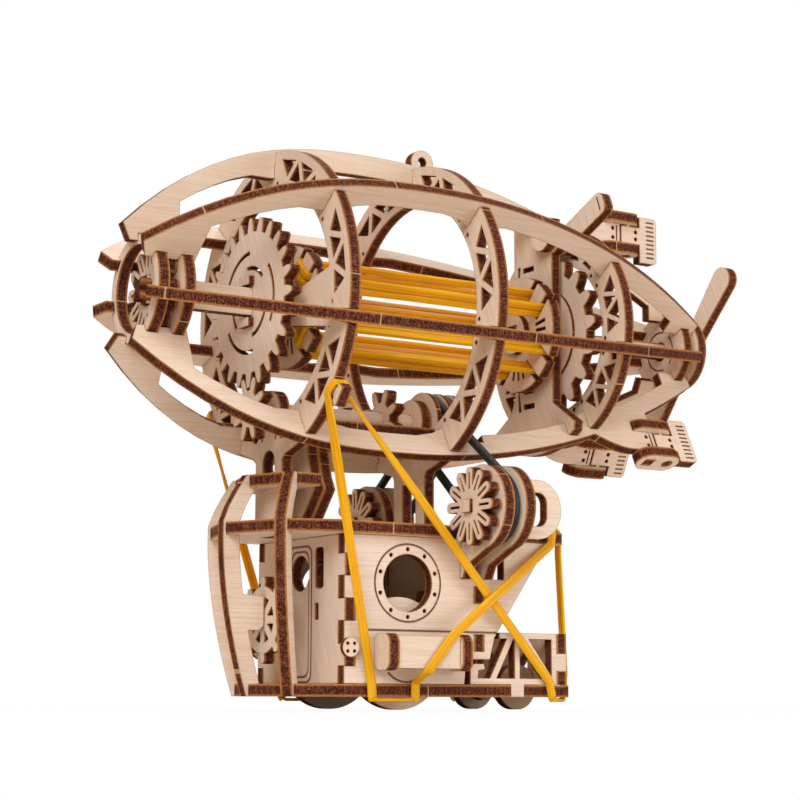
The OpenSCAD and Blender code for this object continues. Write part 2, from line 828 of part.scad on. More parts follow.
module bow_center_post() model() color(birch) difference() {
    sheet_y(-ply / 2) {
        translate([-bow_x, 0]) mirror([1, 0]) post_outline();
        outline([[-bow_x - 2.4, helm_z + 6.2], [helm_x - 0.4, helm_z + 5.6], [helm_x - 0.4, helm_z - 1.4],
            [helm_x - 1.6, helm_z - 2.6], [-bow_x - 2.4, helm_z - 2.6]]);
    }
    translate([helm_x - 4, 0, helm_z]) rotate([0, 90, 0]) cylinder(h = 6, r = 0.9 + run);
}

module bow_corner_posts() model() color(birch) for (s = [-1, 1])
    translate([-bow_corner_x, s * bow_corner_y, 0]) rotate(atan2(s * 0.687, -0.727))
        sheet_y(-ply / 2) post_outline();

module helm_wheel() model() color(birch) {
    translate([0, 0, helm_z]) {
        sheet_x(helm_x) {
            difference() {
                circle(helm_r - 2.4);
                circle(helm_r - 5);
            }
            circle(2.7);
            for (i = [0:7]) rotate(i * 45) {
                translate([0, -1]) square([helm_r - 1.2, 2]);
                translate([helm_r - 1.2, 0]) circle(1.2);
            }
        }
        rod_x(helm_x - 2.6, 3, 0.9);
    }
}

// Two frames under the keel plate, standing on the deck behind the roof
bracket_x = ring1 + roof_tail + fit;
function bracket_side(s) = [
    [s * 2.8, deck_top + fit], [s * 10.2, roof_low - 0.3], [s * 8.4, roof_top],
    [s * 6.8, roof_top + 6], [s * 6.8, keel_top - ply - fit]];

module roof_brackets() model() color(birch) for (k = [0:1])
    sheet_x(bracket_x + k * (ply + fit)) outline(concat(bracket_side(-1), turned(bracket_side(1))));

// Cabin walls with finger joints at the front corners
finger_h = 5.2;
fingers = [0.12, 0.42, 0.72];
peg_z = [-13.7, -25.5];

module cabin_front_wall() model() color(birch) difference() {
    sheet_x(-cabin_x) difference() {
        union() {
            translate([-cabin_in + fit, floor_top + fit]) square([2 * (cabin_in - fit), cabin_h - 2 * fit]);
            for (f = fingers) translate([-cabin_half, floor_top + f * cabin_h])
                square([cabin_w, finger_h]);
        }
        translate([0, floor_top + 27]) circle(4.4);
        for (s = [-1, 1]) {
            translate([s * 9.4, floor_top + 28]) round_box(4, 10, 1);
            translate([s * 8.2, floor_top + 17.5]) square([1.8, 4], center = true);
        }
    }
    sheet_x(-cabin_x - engrave, 2 * engrave) {
        for (w = [11.6, 9]) difference() {
            translate([0, floor_top + 17]) round_box(w, w + 22, 2.5);
            translate([0, floor_top + 17]) round_box(w - 2 * line_w, w + 22 - 2 * line_w, 2.2);
        }
    }
}

module cabin_rear_wall() model() color(birch) sheet_x(back_x) difference() {
    union() {
        translate([-cabin_in + fit, floor_top + fit]) square([2 * (cabin_in - fit), cabin_h - 2 * fit]);
        for (z = peg_z) translate([-cabin_half, deck_low + z - 2]) square([cabin_w, 4]);
    }
    translate([0, floor_top + 16]) round_box(12, 16, 3);
}

module wall_outline() {
    difference() {
        outline([[-cabin_x, deck_low - fit], [wall_top_x, deck_low - fit], [wall_low_x + 3, floor_top + 11.6],
            [wall_low_x, floor_top + fit], [-cabin_x, floor_top + fit]]);
        translate([port_x, port_z]) circle(port_r);
        for (f = fingers) translate([-cabin_x - 1, floor_top + f * cabin_h - fit])
            square([1 + ply + fit, finger_h + 2 * fit]);
        for (z = peg_z) translate([back_x - fit, deck_low + z - 2 - fit]) square([ply + 2 * fit, 4 + 2 * fit]);
        translate([-wheel_x, axle_z]) circle(axle_r + run);
        for (k = [0:1]) for (x = [engine_x, engine_x + ply + engine_gap])
            translate([x - fit + k * starboard_shift, arm_z - arm_h / 2 - fit])
                square([ply + 2 * fit, arm_h + 2 * fit]);
        outline([[back_x - 3.1, floor_top - 1], [back_x - 2.3, floor_top + 6.2],
            [wall_low_x + 9, floor_top + 6.2], [wall_low_x + 9, floor_top - 1]]);
        for (i = [0:9]) translate([port_x, port_z]) rotate(i * 36 + 18)
            translate([(port_r + port_ring_r) / 2, 0]) circle(0.5);
    }
}

port_x = -13.9;
port_z = deck_low - 11.4;

// The port wall's outer face carries the engraved lines
module cabin_port_wall() model() color(birch) difference() {
    sheet_y(-cabin_half) wall_outline();
    sheet_y(-cabin_half - engrave, 2 * engrave) wall_marks();
}

module cabin_starboard_wall() model() color(birch) difference() {
    sheet_y(cabin_in) wall_outline();
    sheet_y(cabin_half - engrave, 2 * engrave) wall_marks();
}

module wall_marks() {
    translate([port_x, port_z]) difference() {
        circle(port_ring_r + line_w / 2);
        circle(port_ring_r - line_w / 2);
    }
    translate([-cabin_x + 5, floor_top + 12.6]) square([40, line_w]);
    translate([-wheel_x, axle_z]) arc_slot(7, line_w, 222, 318);
}

// Side tanks: two rounded end plates and a plain face plate
module tank_end_plates() model() color(birch) both_sides() for (x = [tank_x, tank_end_x])
    sheet_x(x) translate([-cabin_half - fit - tank_d / 2, tank_z]) round_box(tank_d, tank_h, 2.4);

module tank_face_plates() model() color(birch) both_sides()
    sheet_y(-cabin_half - fit - tank_d + 0.8) translate([(tank_x + ply + tank_end_x) / 2, tank_z])
        square([tank_end_x - tank_x - ply - 2 * fit, tank_h - 1], center = true);

module tank_valves() model() color(birch) both_sides()
    sheet_y(-cabin_half - fit - 1.3, 1.3) translate([-30.6, tank_z + 1]) difference() {
        circle(2.3);
        for (i = [0:3]) rotate(i * 90 + 45) translate([1.3, 0]) circle(0.4);
    }

// Stern rails
rail_tab_x = 16.6;
rail_hook_x = back_x - 1.1;

module side_rails() model() color(birch) both_sides() sheet_y(-cabin_half) union() {
    x1 = rail_end_x - ply - fit;
    xm = rail_tab_x + 2;
    xt = wall_low_x + 4.6;
    foot = wall_low_x + 0.9;
    h = rail_hook_x;
    z0 = floor_top + fit;
    z1 = floor_top + rail_h;
    translate([h, z0]) square([x1 - h, rail_bar]);
    translate([xt, z1 - rail_bar]) square([x1 - xt, rail_bar]);
    translate([x1 - rail_bar, z0]) square([rail_bar, z1 - z0]);
    translate([xm - rail_bar / 2, z0]) square([rail_bar, z1 - z0]);
    outline([[foot, z0], [foot + 1.9, z0], [xm - 0.4, z1], [xm - 2.3, z1]]);
    outline([[x1, z0], [x1 - 1.9, z0], [xm + 0.4, z1], [xm + 2.3, z1]]);
    outline([[h, z0], [h, z0 + 4], [h + 1, z0 + 5], [h + 4, z0 + 5], [h + 4.4, z0 + 3.8],
        [h + 2.4, z0 + 3.4], [h + 2, z0]]);
    translate([rail_tab_x, floor_low]) square([4, ply + 1]);
    translate([x1 - 1, z0 + 3.4]) square([ply + fit + 1, 4.4]);
}

module rear_rail() model() color(birch) sheet_x(rail_end_x - ply) difference() {
    translate([-cabin_half, floor_top + fit]) square([cabin_w, rail_h - fit]);
    reach = sqrt(pow(tail_wheel_r, 2) - pow(rail_end_x - ply - tail_wheel_x, 2)) + air;
    for (s = [-1, 1]) {
        translate([s * (cabin_half - ply / 2), floor_top + 5.7]) square([ply + 2 * fit, 4.4 + 2 * fit], center = true);
        translate([s * tail_wheel_y, tail_axle_z]) square([ply + 2 * air, 2 * reach], center = true);
        for (k = [0:1]) translate([s * (5.6 + k * 8.6), floor_top + rail_h / 2 + 0.7])
            outline([[-3.2, -3.2], [3.2, -3.2], [s * (k == 0 ? 3.2 : -3.2), 3.2]]);
    }
}

// Bearings of the rear axle, standing on the floor over the wheel bay
bracket_y = 4.9;
bracket_r = 3.4;

module rear_axle_brackets() model() color(birch) both_sides() sheet_y(-bracket_y - ply / 2) difference() {
    union() {
        translate([rail_x + 1, floor_top + fit]) square([rail_end_x - ply - fit - rail_x - 1, 4]);
        translate([tail_wheel_x, tail_axle_z]) circle(bracket_r);
    }
    translate([tail_wheel_x, tail_axle_z]) circle(tail_axle_r + run);
}

module front_wheelset() model() color(birch) {
    difference() {
        both_sides() sheet_y(-wheel_y - ply / 2) translate([-wheel_x, axle_z]) difference() {
            circle(wheel_r);
            for (i = [0:4]) rotate(i * 72 + 90) translate([7.6, 0]) circle(2.6);
            circle(axle_r + fit);
        }
    }
    translate([-wheel_x, -cabin_half + 0.2, axle_z]) rotate([-90, 0, 0])
        cylinder(h = cabin_w - 0.4, r = axle_r);
}

module rear_wheelset() model() color(birch) {
    both_sides() sheet_y(-tail_wheel_y - ply / 2) translate([tail_wheel_x, tail_axle_z]) difference() {
        circle(tail_wheel_r);
        circle(tail_axle_r + fit);
    }
    translate([tail_wheel_x, -tail_wheel_y - ply / 2 - 0.4, tail_axle_z]) rotate([-90, 0, 0])
        cylinder(h = 2 * tail_wheel_y + ply + 0.8, r = tail_axle_r);
}

// Engines

module engine_frame_outline() {
    difference() {
        union() {
            translate([-engine_y, -engine_z]) circle(flange_r);
            outline([[-engine_y - 3, -engine_z - flange_r + 0.6], [-engine_y + 7, -engine_z - 6],
                [-cabin_half, arm_z + arm_h / 2 + 1.6], [-cabin_half, arm_z - arm_h / 2],
                [-cabin_half - 0.8, arm_z - arm_h / 2], [-cabin_half - 2.4, arm_z + 0.5]]);
            translate([-cabin_half - 1, arm_z - arm_h / 2]) square([ply + 1, arm_h]);
        }
        translate([-engine_y, -engine_z]) circle(engine_shaft_r + run);
    }
}

module each_engine() {
    children();
    translate([starboard_shift, 0, 0]) mirror([0, 1, 0]) children();
}

module engine_frames() model() color(birch) each_engine()
    for (x = [engine_x, engine_x + ply + engine_gap]) sheet_x(x) engine_frame_outline();

module engine_tails() model() color(birch) each_engine() sheet_y(-engine_y - ply / 2)
    translate([engine_end_x + air, -engine_z]) difference() {
        union() {
            translate([0, -7.4]) square([6.4, 14.8]);
            translate([6.4, 0]) intersection() {
                circle(7.4);
                translate([0, -8]) square([8, 16]);
            }
        }
        translate([6.4, 0]) round_box(6, 8.4, 2.6);
        translate([-1, -engine_shaft_r - 1]) square([2.4, 2 * engine_shaft_r + 2]);
    }

module engine_fan() {
    translate([0, -engine_y, -engine_z]) {
        sheet_x(fan_x) petals(fan_r, 3.6);
        translate([fan_x - 1, -1.6, -1.6]) cube([1.2, 3.2, 3.2]);
        rod_x(fan_x, engine_end_x - fan_x + 0.6, engine_shaft_r);
    }
}

module engine_pulley() {
    w = engine_gap - 2 * air;
    translate([0, -engine_y, -engine_z]) sheet_x(engine_x + ply + air, w) difference() {
        circle(engine_pulley_r);
        circle(engine_shaft_r + fit);
    }
}

module engine_fan_port() model() color(birch) engine_fan();
module engine_fan_starboard() model() color(birch) translate([starboard_shift, 0, 0]) mirror([0, 1, 0]) engine_fan();
module engine_pulley_port() model() color(birch) engine_pulley();
module engine_pulley_starboard() model() color(birch) translate([starboard_shift, 0, 0]) mirror([0, 1, 0]) engine_pulley();

// A closed route round two pulleys, in short straight steps
function belt_route(a, ra, b, rb) =
    let (n = 24,
        head = atan2(b[1] - a[1], b[0] - a[0]),
        lean = acos((ra - rb) / norm(b - a)))
    concat(
        [for (i = [0:n]) let (t = head - lean + 2 * lean * i / n) b + rb * [cos(t), sin(t)]],
        [for (i = [0:n]) let (t = head + lean + (360 - 2 * lean) * i / n) a + ra * [cos(t), sin(t)]]);

module belt() {
    hull_c = [0, lay_z];
    engine_c = [-engine_y, -engine_z];
    r0 = hull_pulley_r + belt_gap;
    r1 = engine_pulley_r + belt_gap;
    sheet_x(belt1_x - belt_t / 2, belt_t) difference() {
        outline(belt_route(hull_c, r0 + belt_t, engine_c, r1 + belt_t));
        outline(belt_route(hull_c, r0, engine_c, r1));
    }
}

module drive_belts() model() color(black) each_engine() belt();

// Front drive: nose fan, shaft, gear and hook disc turn as one

module bar_slot() {
    square([bar_t + 2 * fit, bar_h + 2 * fit], center = true);
}

module front_shaft() model() color(birch) {
    intersection() {
        translate([nose_fan_x - 1, -bar_t / 2, -bar_h / 2]) cube([hook1 + ply - nose_fan_x + 1, bar_t, bar_h]);
        rod_x(nose_ring, hook1 + ply - nose_ring, bar_r);
    }
    for (a = [45, 135]) rotate([a, 0, 0])
        translate([nose_fan_x - 2.8, -3.2, -0.75]) cube([2.75, 6.4, 1.5]);
}

module nose_fan() model() color(birch) sheet_x(nose_fan_x) difference() {
    petals(nose_web_r - 0.5, 5.2);
    bar_slot();
}

module front_gear() model() color(birch) difference() {
    union() {
        sheet_x(gear1) rotate(90) gear_outline(gear_n, gear_r, gear_tip);
        rod_x(gear1 + ply, ring1 - air - gear1 - ply, 6.5);
        for (s = [-1, 1]) translate([gear1 - 1.6, -2.6, s * 5.2 - 1.1]) cube([1.7, 5.2, 2.2]);
    }
    sheet_x(gear1 - 2, cut) bar_slot();
    sheet_x(gear1 - 1, ply + 1) for (a = [20, 140, 260]) {
        arc_slot(12.5, 1, a, a + 70);
        arc_slot(8.6, 1, a + 60, a + 120);
    }
}

// A disc with hooks, each between a pair of notches that the bands pass through
module hook_outline() {
    pitch = 360 / hook_n;
    side_y = hook_half + band_t / 2 + 0.2;
    difference() {
        circle(hook_r);
        for (i = [0:hook_n - 1], s = [-1, 1]) rotate(hook_turn + i * pitch)
            translate([band_low - 0.4, s * side_y - band_t / 2 - 0.25]) square([cut, band_t + 0.5]);
        for (i = [0:hook_n - 1], k = [-1:1]) rotate(hook_turn + (i + 0.5) * pitch + k * 11)
            translate([8, -0.45]) square([4.4, 0.9]);
    }
}

hook_turn = 45;
band_low = 8.4;
band_step = band_h + 0.35;

module front_hook_disc() model() color(birch) sheet_x(hook1) difference() {
    hook_outline();
    bar_slot();
}

// Rubber bands between the hooks
module rubber_motor() model() color(rubber) {
    inner0 = hook1 - 0.1;
    inner1 = hook2 + ply + 0.1;
    for (i = [0:hook_n - 1], k = [0:band_n - 1]) rotate([hook_turn - 90 + i * 360 / hook_n, 0, 0])
        translate([(inner0 + inner1) / 2, 0, band_low + k * band_step]) linear_extrude(band_h)
            difference() {
                round_box(inner1 - inner0 + 2 * band_t, 2 * (hook_half + 0.1 + band_t), 1.6);
                round_box(inner1 - inner0, 2 * (hook_half + 0.1), 0.4);
            }
}

// Lower shaft: pinion, cog and twin pulley turn as one

module layshaft() model() color(shade) translate([0, 0, lay_z])
    rod_x(gear1 - 2, pulley_end_x + 1.4 - gear1 + 2, lay_r);

module layshaft_gears() model() color(birch) translate([0, 0, lay_z]) {
    for (x = [gear1, -cog_x]) sheet_x(x) difference() {
        rotate(90 + 180 / pinion_n) gear_outline(pinion_n, pinion_r, pinion_tip);
        circle(lay_r + fit);
    }
}

module layshaft_pulley() model() color(birch) translate([0, 0, lay_z]) difference() {
    union() {
        rod_x(pulley_x, pulley_end_x - pulley_x, hull_pulley_r);
        rod_x(pulley_x, pulley_wall, hull_flange_r);
        rod_x(belt1_x + belt_t / 2 + 0.2, starboard_shift - belt_t - 0.4, hull_flange_r);
        rod_x(pulley_end_x - pulley_wall, pulley_wall, hull_flange_r);
    }
    rod_x(pulley_x - 1, pulley_end_x - pulley_x + 2, lay_r + fit);
}

// Tail drive: hook disc, gear, shaft and propeller turn as one

module tail_slot() {
    square(tail_bar + 2 * fit, center = true);
}

module rear_hook_disc() model() color(birch) difference() {
    union() {
        sheet_x(hook2) hook_outline();
        rod_x(hook2 - 2, 2.1, 5.4);
    }
    sheet_x(hook2 - 3, cut) tail_slot();
}

module rear_gear() model() color(birch) difference() {
    union() {
        sheet_x(gear2) rotate(90) gear_outline(rear_gear_n, gear_r, gear_tip);
        rod_x(strap_x + ply + air, gear2 - strap_x - ply - air, 13);
    }
    sheet_x(strap_x, cut) tail_slot();
}

module tail_shaft() model() color(birch) intersection() {
    translate([hook2 - 2, -tail_bar / 2, -tail_bar / 2]) cube([shaft_end_x - hook2 + 2, tail_bar, tail_bar]);
    rod_x(hook2 - 2, shaft_end_x - hook2 + 2, tail_bar_r);
}

module propeller() model() color(birch) sheet_x(prop_x) difference() {
    union() {
        circle(4.8);
        for (a = [0, 180]) rotate(prop_angle + a) {
            outline([[0, -2.2], [8, -2.6], [prop_r - prop_w / 2, -prop_w / 2], [prop_r - prop_w / 2, prop_w / 2],
                [8, 2.6], [0, 2.2]]);
            translate([prop_r - prop_w / 2, 0]) circle(prop_w / 2);
        }
    }
    tail_slot();
}

// Brake lever over the rear gear
module brake_lever() model() color(birch) difference() {
    union() {
        sheet_x(gear2) {
            a = [lever_y, lever_z];
            aim = lever_tip - a;
            translate(a) {
                circle(4);
                rotate(atan2(aim[1], aim[0])) {
                    translate([0, -3.1]) square([norm(aim), 6.2]);
                    translate([norm(aim), 0]) round_box(4, 6.2, 1.9);
                }
            }
        }
        translate([0, lever_y, lever_z]) {
            rod_x(strap_x - air, gear2 - strap_x + air + 0.1, pin_r);
            rod_x(strap_x - air - ply, ply, 4);
        }
    }
    sheet_x(gear2 - engrave, 2 * engrave) translate(lever_tip) rotate(70) square([4, line_w], center = true);
}

// Rigging: one rubber loop each side, from the hull hook round floor and deck

hook_p = (ring1_r + 1.3) * [cos(hook_angle), sin(hook_angle)];
hook_t = [cos(hook_angle - 90), sin(hook_angle - 90)];
edge_y = -cabin_half - rig_t / 2 - 0.3;
face_y = -cabin_half - fit - tank_d + 0.8 - rig_t / 2 - 0.3;
under_z = floor_low - rig_t / 2 - 0.35;
over_z = deck_top + rig_t / 2 + 0.35;
aft_x = deck_end_x + rig_t / 2 + 0.35;
aft_y = -deck_aft_half;
side = [0, 1, 0];
up = [0, 0, 1];
fore = [-1, 0, 0];
inward = -[0, hook_t[0], hook_t[1]];
function between(a, b, t) = a + (b - a) * t;
function at_hook(x, lift) = [x, hook_p[0] + lift * hook_t[0], hook_p[1] + lift * hook_t[1]];
front_loop = at_hook(ring1 - 1.3, -0.8);
front_foot = [-24.6, edge_y, floor_top + 1];
rear_loop = at_hook(ring1 + ply + 0.9, -0.8);
rear_foot = [floor_end_x - 6.6, edge_y - 0.2, floor_top + 0.8];
// Each stop: a point on the band's middle line and the side it lies against
rig_route = [
    [front_loop, -fore],
    [between(front_loop, front_foot, 0.25), [0.8, 0.6, 0]],
    [between(front_loop, front_foot, 0.5), side],
    [front_foot, side],
    [[-24.3, edge_y, floor_low - 0.1], side],
    [[-23.6, edge_y + 0.8, under_z], up],
    [[-12.9, edge_y + 0.8, under_z], up],
    [[-12.2, edge_y, floor_low - 0.1], side],
    [[-12.2, edge_y - 0.1, floor_top + 0.4], side],
    [[-12.3, face_y + 0.3, tank_z - tank_h / 2 - 0.3], side],
    [[-11.6, face_y, tank_z - tank_h / 2 + 0.7], side],
    [[-5.3, face_y, tank_z + tank_h / 2 - 0.4], side],
    [[wall_top_x + 0.4, edge_y, deck_low - 0.3], side],
    [[wall_top_x + 1.8, aft_y - 1.1, deck_top + 0.3], side],
    [[wall_top_x + 2.6, aft_y + 0.3, over_z + 0.3], -up],
    [[deck_end_x - 0.3, aft_y + 3.8, over_z], -up],
    [[aft_x, aft_y + 4.2, deck_top + 0.05], fore],
    [[aft_x, aft_y + 4.2, deck_low - 2], fore],
    [[aft_x, aft_y + 2, floor_top + 3], fore],
    [[floor_end_x + rig_t / 2 + 0.3, aft_y + 1.8, floor_low - 0.15], fore],
    [[floor_end_x - 0.4, aft_y + 1.2, under_z], up],
    [[floor_end_x - 4.6, edge_y + 0.8, under_z], up],
    [[floor_end_x - 5.6, edge_y, floor_low - 0.1], side],
    [rear_foot, side],
    [between(rear_foot, rear_loop, 0.6), side],
    [between(rear_foot, rear_loop, 0.85), [-0.7, 0.7, 0]],
    [rear_loop, fore],
    [at_hook(ring1 + ply + 0.35, 2), inward],
    [at_hook(ring1 - 0.35, 2), inward]];

function unit(v) = v / norm(v);
function rig_ring(k) =
    let (n = len(rig_route),
        here = rig_route[k][0],
        ahead = unit(rig_route[(k + 1) % n][0] - rig_route[(k + n - 1) % n][0]),
        thick = unit(rig_route[k][1] - (rig_route[k][1] * ahead) * ahead),
        wide = cross(ahead, thick))
    [for (c = [[-1, -1], [1, -1], [1, 1], [-1, 1]]) here + c[0] * rig_w / 2 * wide + c[1] * rig_t / 2 * thick];

module rig_loop() {
    n = len(rig_route);
    points = [for (k = [0:n - 1]) each rig_ring(k)];
    faces = [for (k = [0:n - 1], c = [0:3])
        let (a = k * 4 + c, b = k * 4 + (c + 1) % 4, m = (k + 1) % n)
        each [[a, m * 4 + c, b], [b, m * 4 + c, m * 4 + (c + 1) % 4]]];
    polyhedron(points, faces);
}

module rigging_bands() model() color(rubber) both_sides() rig_loop();

ring_front();
ring_middle();
ring_rear();
stringer_top();
stringer_port_upper();
stringer_port_side();
stringer_port_lower();
stringer_starboard_lower();
stringer_starboard_side();
stringer_starboard_upper();
nose_ring();
nose_bulkhead();
tail_bulkhead();
tail_cap();
motor_strap();
keel_plate();
deck();
floor();
roof();
cabin_front_wall();
cabin_rear_wall();
cabin_port_wall();
cabin_starboard_wall();
bow_center_post();
bow_corner_posts();
roof_brackets();
side_rails();
rear_rail();
tank_end_plates();
tank_face_plates();
tank_valves();
engine_frames();
engine_tails();
fin_clamps();
rear_axle_brackets();
rubber_motor();
rigging_bands();
drive_belts();
nose_fan();
front_shaft();
front_gear();
front_hook_disc();
layshaft();
layshaft_gears();
layshaft_pulley();
engine_fan_port();
engine_fan_starboard();
engine_pulley_port();
engine_pulley_starboard();
rear_hook_disc();
rear_gear();
tail_shaft();
propeller();
brake_lever();
rudder_top();
rudder_port();
rudder_starboard();
helm_wheel();
front_wheelset();
rear_wheelset();
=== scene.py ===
# %% [markdown]
# # A plywood airship, dressed in Blender
# The real model is a kit: flat plates are burned out of one sheet of birch plywood by a laser, pushed
# together by their tabs, and driven by yellow rubber bands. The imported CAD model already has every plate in
# its right place, so this lesson loads it as a fixed frame and adds what CAD leaves out: the look of
# the veneer, the charred edges, and soft rubber bands and belts.

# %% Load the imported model
import math

import bpy
import numpy as np
from mathutils import Euler, Matrix, Vector


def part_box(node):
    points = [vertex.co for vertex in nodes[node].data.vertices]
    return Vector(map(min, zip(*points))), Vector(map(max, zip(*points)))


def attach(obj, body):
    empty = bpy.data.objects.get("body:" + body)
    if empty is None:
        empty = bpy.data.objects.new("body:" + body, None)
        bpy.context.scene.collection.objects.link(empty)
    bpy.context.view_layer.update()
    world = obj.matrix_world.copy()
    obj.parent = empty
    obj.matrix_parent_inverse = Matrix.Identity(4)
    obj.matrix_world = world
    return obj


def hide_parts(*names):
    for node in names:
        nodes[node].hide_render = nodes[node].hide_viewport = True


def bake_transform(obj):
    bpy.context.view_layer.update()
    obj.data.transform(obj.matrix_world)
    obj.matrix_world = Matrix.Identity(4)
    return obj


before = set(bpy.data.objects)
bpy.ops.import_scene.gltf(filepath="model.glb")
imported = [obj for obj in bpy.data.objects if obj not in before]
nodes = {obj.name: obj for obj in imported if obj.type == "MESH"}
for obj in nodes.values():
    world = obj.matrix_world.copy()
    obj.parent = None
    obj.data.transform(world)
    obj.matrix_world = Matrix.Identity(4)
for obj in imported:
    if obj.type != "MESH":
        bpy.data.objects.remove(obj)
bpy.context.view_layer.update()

MM = 0.001
# part.scad draws the hull about its own axis; this shift, in mm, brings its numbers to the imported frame
HULL = np.array((-7.25, 0, 99.6))

# %% [markdown]
# ## Camera
# The photograph was taken from the port bow, a little below the hull, so that the eye looks up at the model
# by about eight degrees. The distance and the 90 mm lens come from solving the photograph's perspective on
# the hull's rings and stringers.

# %% Camera
CAMERA_AT = Vector((-282.35, -431.5, 3.3)) * MM
CAMERA_TURN = -32.26
CAMERA_LIFT = 8.42
CAMERA_ROLL = 0.17
camera_data = bpy.data.cameras.new("photo_camera")
camera_data.lens = 90
camera_data.sensor_width = 36
camera_data.clip_start = 0.01
camera = bpy.data.objects.new("photo_camera", camera_data)
bpy.context.scene.collection.objects.link(camera)
aim = Euler((math.radians(90 + CAMERA_LIFT), 0, math.radians(CAMERA_TURN)), "XYZ").to_matrix()
aim = aim @ Matrix.Rotation(math.radians(CAMERA_ROLL), 3, "Z")
camera.matrix_world = Matrix.Translation(CAMERA_AT) @ aim.to_4x4()
bpy.context.scene.camera = camera
print("camera", camera.location[:])

# %% [markdown]
# ## Small helpers for materials
# Colours are written as the hex values a paint program shows, and one function turns them into the linear
# light that shaders count in. A second function adds any node, sets its inputs and links it in one line.

# %% Helpers for materials


def linear(hex_colour):
    """An sRGB hex colour as linear RGBA."""
    parts = [int(hex_colour[i:i + 2], 16) / 255 for i in (1, 3, 5)]
    return tuple(c / 12.92 if c <= 0.04045 else ((c + 0.055) / 1.055) ** 2.4 for c in parts) + (1.0,)


def add(tree, kind, sockets=None, out=0, stops=None, **settings):
    """Adds one node and returns one of its outputs.

    sockets maps input names or numbers to values or to other nodes' outputs, settings are the node's own
    properties, and stops are the (place, hex colour) pairs of a colour ramp.
    """
    node = tree.nodes.new("ShaderNode" + kind)
    for key, value in settings.items():
        setattr(node, key, value)
    for key, value in (sockets or {}).items():
        if isinstance(value, bpy.types.NodeSocket):
            tree.links.new(value, node.inputs[key])
        else:
            node.inputs[key].default_value = value
    if stops:
        band = node.color_ramp.elements
        band.remove(band[-1])
        band[0].position, band[0].color = stops[0][0], linear(stops[0][1])
        for place, colour in stops[1:]:
            band.new(place).color = linear(colour)
    return node.outputs[out] if len(node.outputs) else node


def new_material(name):
    """An empty material, its node tree and its one Principled shader."""
    material = bpy.data.materials.new(name)
    material.use_nodes = True
    tree = material.node_tree
    tree.nodes.clear()
    surface = add(tree, "BsdfPrincipled")
    add(tree, "OutputMaterial", {"Surface": surface})
    return material, tree, surface.node


# %% [markdown]
# ## What the laser leaves on a plate
# A laser-cut plate has two skins. Its faces are pale, sanded birch veneer with fine lengthwise fibres, and
# its cut walls are burned brown, with a paler toasted rim where the beam entered and left. Both could be two
# materials set face by face, but then the rim and the fibres would not know where they are. Here every
# corner of every triangle is given five facts instead: whether it is on a cut wall, how far through the
# thickness it is, how far along the wall, a position in the plate's own grain directions, and a tone for its
# piece of veneer. One material reads them. The mesh itself is not changed.

# %% Find the separate solids of a node


def islands_of(corners):
    """Numbers each triangle by the solid it belongs to; corners are (triangles, 3) point numbers."""
    parent = np.arange(corners.max() + 1)

    def root(i):
        while parent[i] != i:
            parent[i] = parent[parent[i]]
            i = parent[i]
        return i

    for a, b, c in corners:
        ra, rb, rc = root(a), root(b), root(c)
        parent[rb] = ra
        parent[root(rc)] = ra
    tops = np.array([root(c[0]) for c in corners])
    return np.unique(tops, return_inverse=True)[1]


# %% [markdown]
# The sheet's direction is the one that most of a solid's area faces, counting both sides together. A turned
# rod has no such direction: its area is spread all round, so it is treated as bare wood with the grain
# along it.

# %% Find the direction of the sheet and of its grain
# Normals that look back along this lopsided direction are turned round, so that both sides count as one
LOOK_ALONG = np.array((1.0, 0.013, 0.00017))
# Normals that differ by less than about a fiftieth count as one direction
NORMAL_CELLS = 50
# A solid with less than this share of its area facing one way is a rod
ROD_SHARE = 0.12
# A sheet whose normal leans to X by more than this is an upright disc or ring
FACES_X = 0.7
DISC_GRAIN = np.array((0, 0.42, 0.91))


def sheet_direction(normal, area):
    """The direction that most of the area faces, and the share of the area that faces it."""
    turned = normal * np.where((normal @ LOOK_ALONG) < 0, -1.0, 1.0)[:, None]
    cells = np.round(turned * NORMAL_CELLS).astype(int)
    place = np.unique(cells, axis=0, return_inverse=True)[1].reshape(-1)
    total = np.bincount(place, weights=area)
    best = total.argmax()
    mean = (turned[place == best] * area[place == best, None]).sum(0)
    return mean / np.linalg.norm(mean), total[best] / area.sum()


def grain_axes(normal, area):
    """Unit directions along the grain, across it and through the sheet, and whether the solid is a rod."""
    flat, share = sheet_direction(normal, area)
    rod = share < ROD_SHARE
    run = np.array((1.0, 0, 0)) if abs(flat[0]) < FACES_X else DISC_GRAIN
    if rod:
        spread = (normal * area[:, None]).T @ normal
        run, flat = np.linalg.eigh(spread)[1].T[:2]
    run = run - flat * (run @ flat)
    run /= np.linalg.norm(run)
    return run, np.cross(flat, run), flat, rod


# %% [markdown]
# A triangle that doesn't lie in the sheet is a cut wall. Engraved lines are shallow pockets: their floors lie
# the engraving's depth below the face around them, and the weak beam leaves them only part burned.

# %% Find what is burned
FACE_COS = 0.97
ENGRAVE = 0.3 * MM
ENGRAVE_SLACK = 0.05 * MM
ENGRAVED_TONE = 0.62
# The face around an engraved floor has more than this many times the area of one of its triangles
FACE_RATIO = 2


def burned_triangles(facing, level, area):
    """How far each triangle is burned, from 0 to 1, and which ones are cut walls."""
    wall = np.abs(facing) < FACE_COS
    burned = wall.astype(float)
    for i in np.where(~wall)[0]:
        side = np.sign(facing[i])
        same_side = (~wall) & (facing * side > FACE_COS)
        above = same_side & (np.abs((level - level[i]) * side - ENGRAVE) < ENGRAVE_SLACK)
        if area[above].sum() > area[i] * FACE_RATIO:
            burned[i] = ENGRAVED_TONE
    return burned, wall


# %% [markdown]
# The rim, the stripes and the hairlines of a wall need two measures: how far through the sheet a corner is,
# and how far along the plate. On upright discs and rings the second one runs round the middle.

# %% Measure through and along the walls
NO_DEPTH = 1e-9


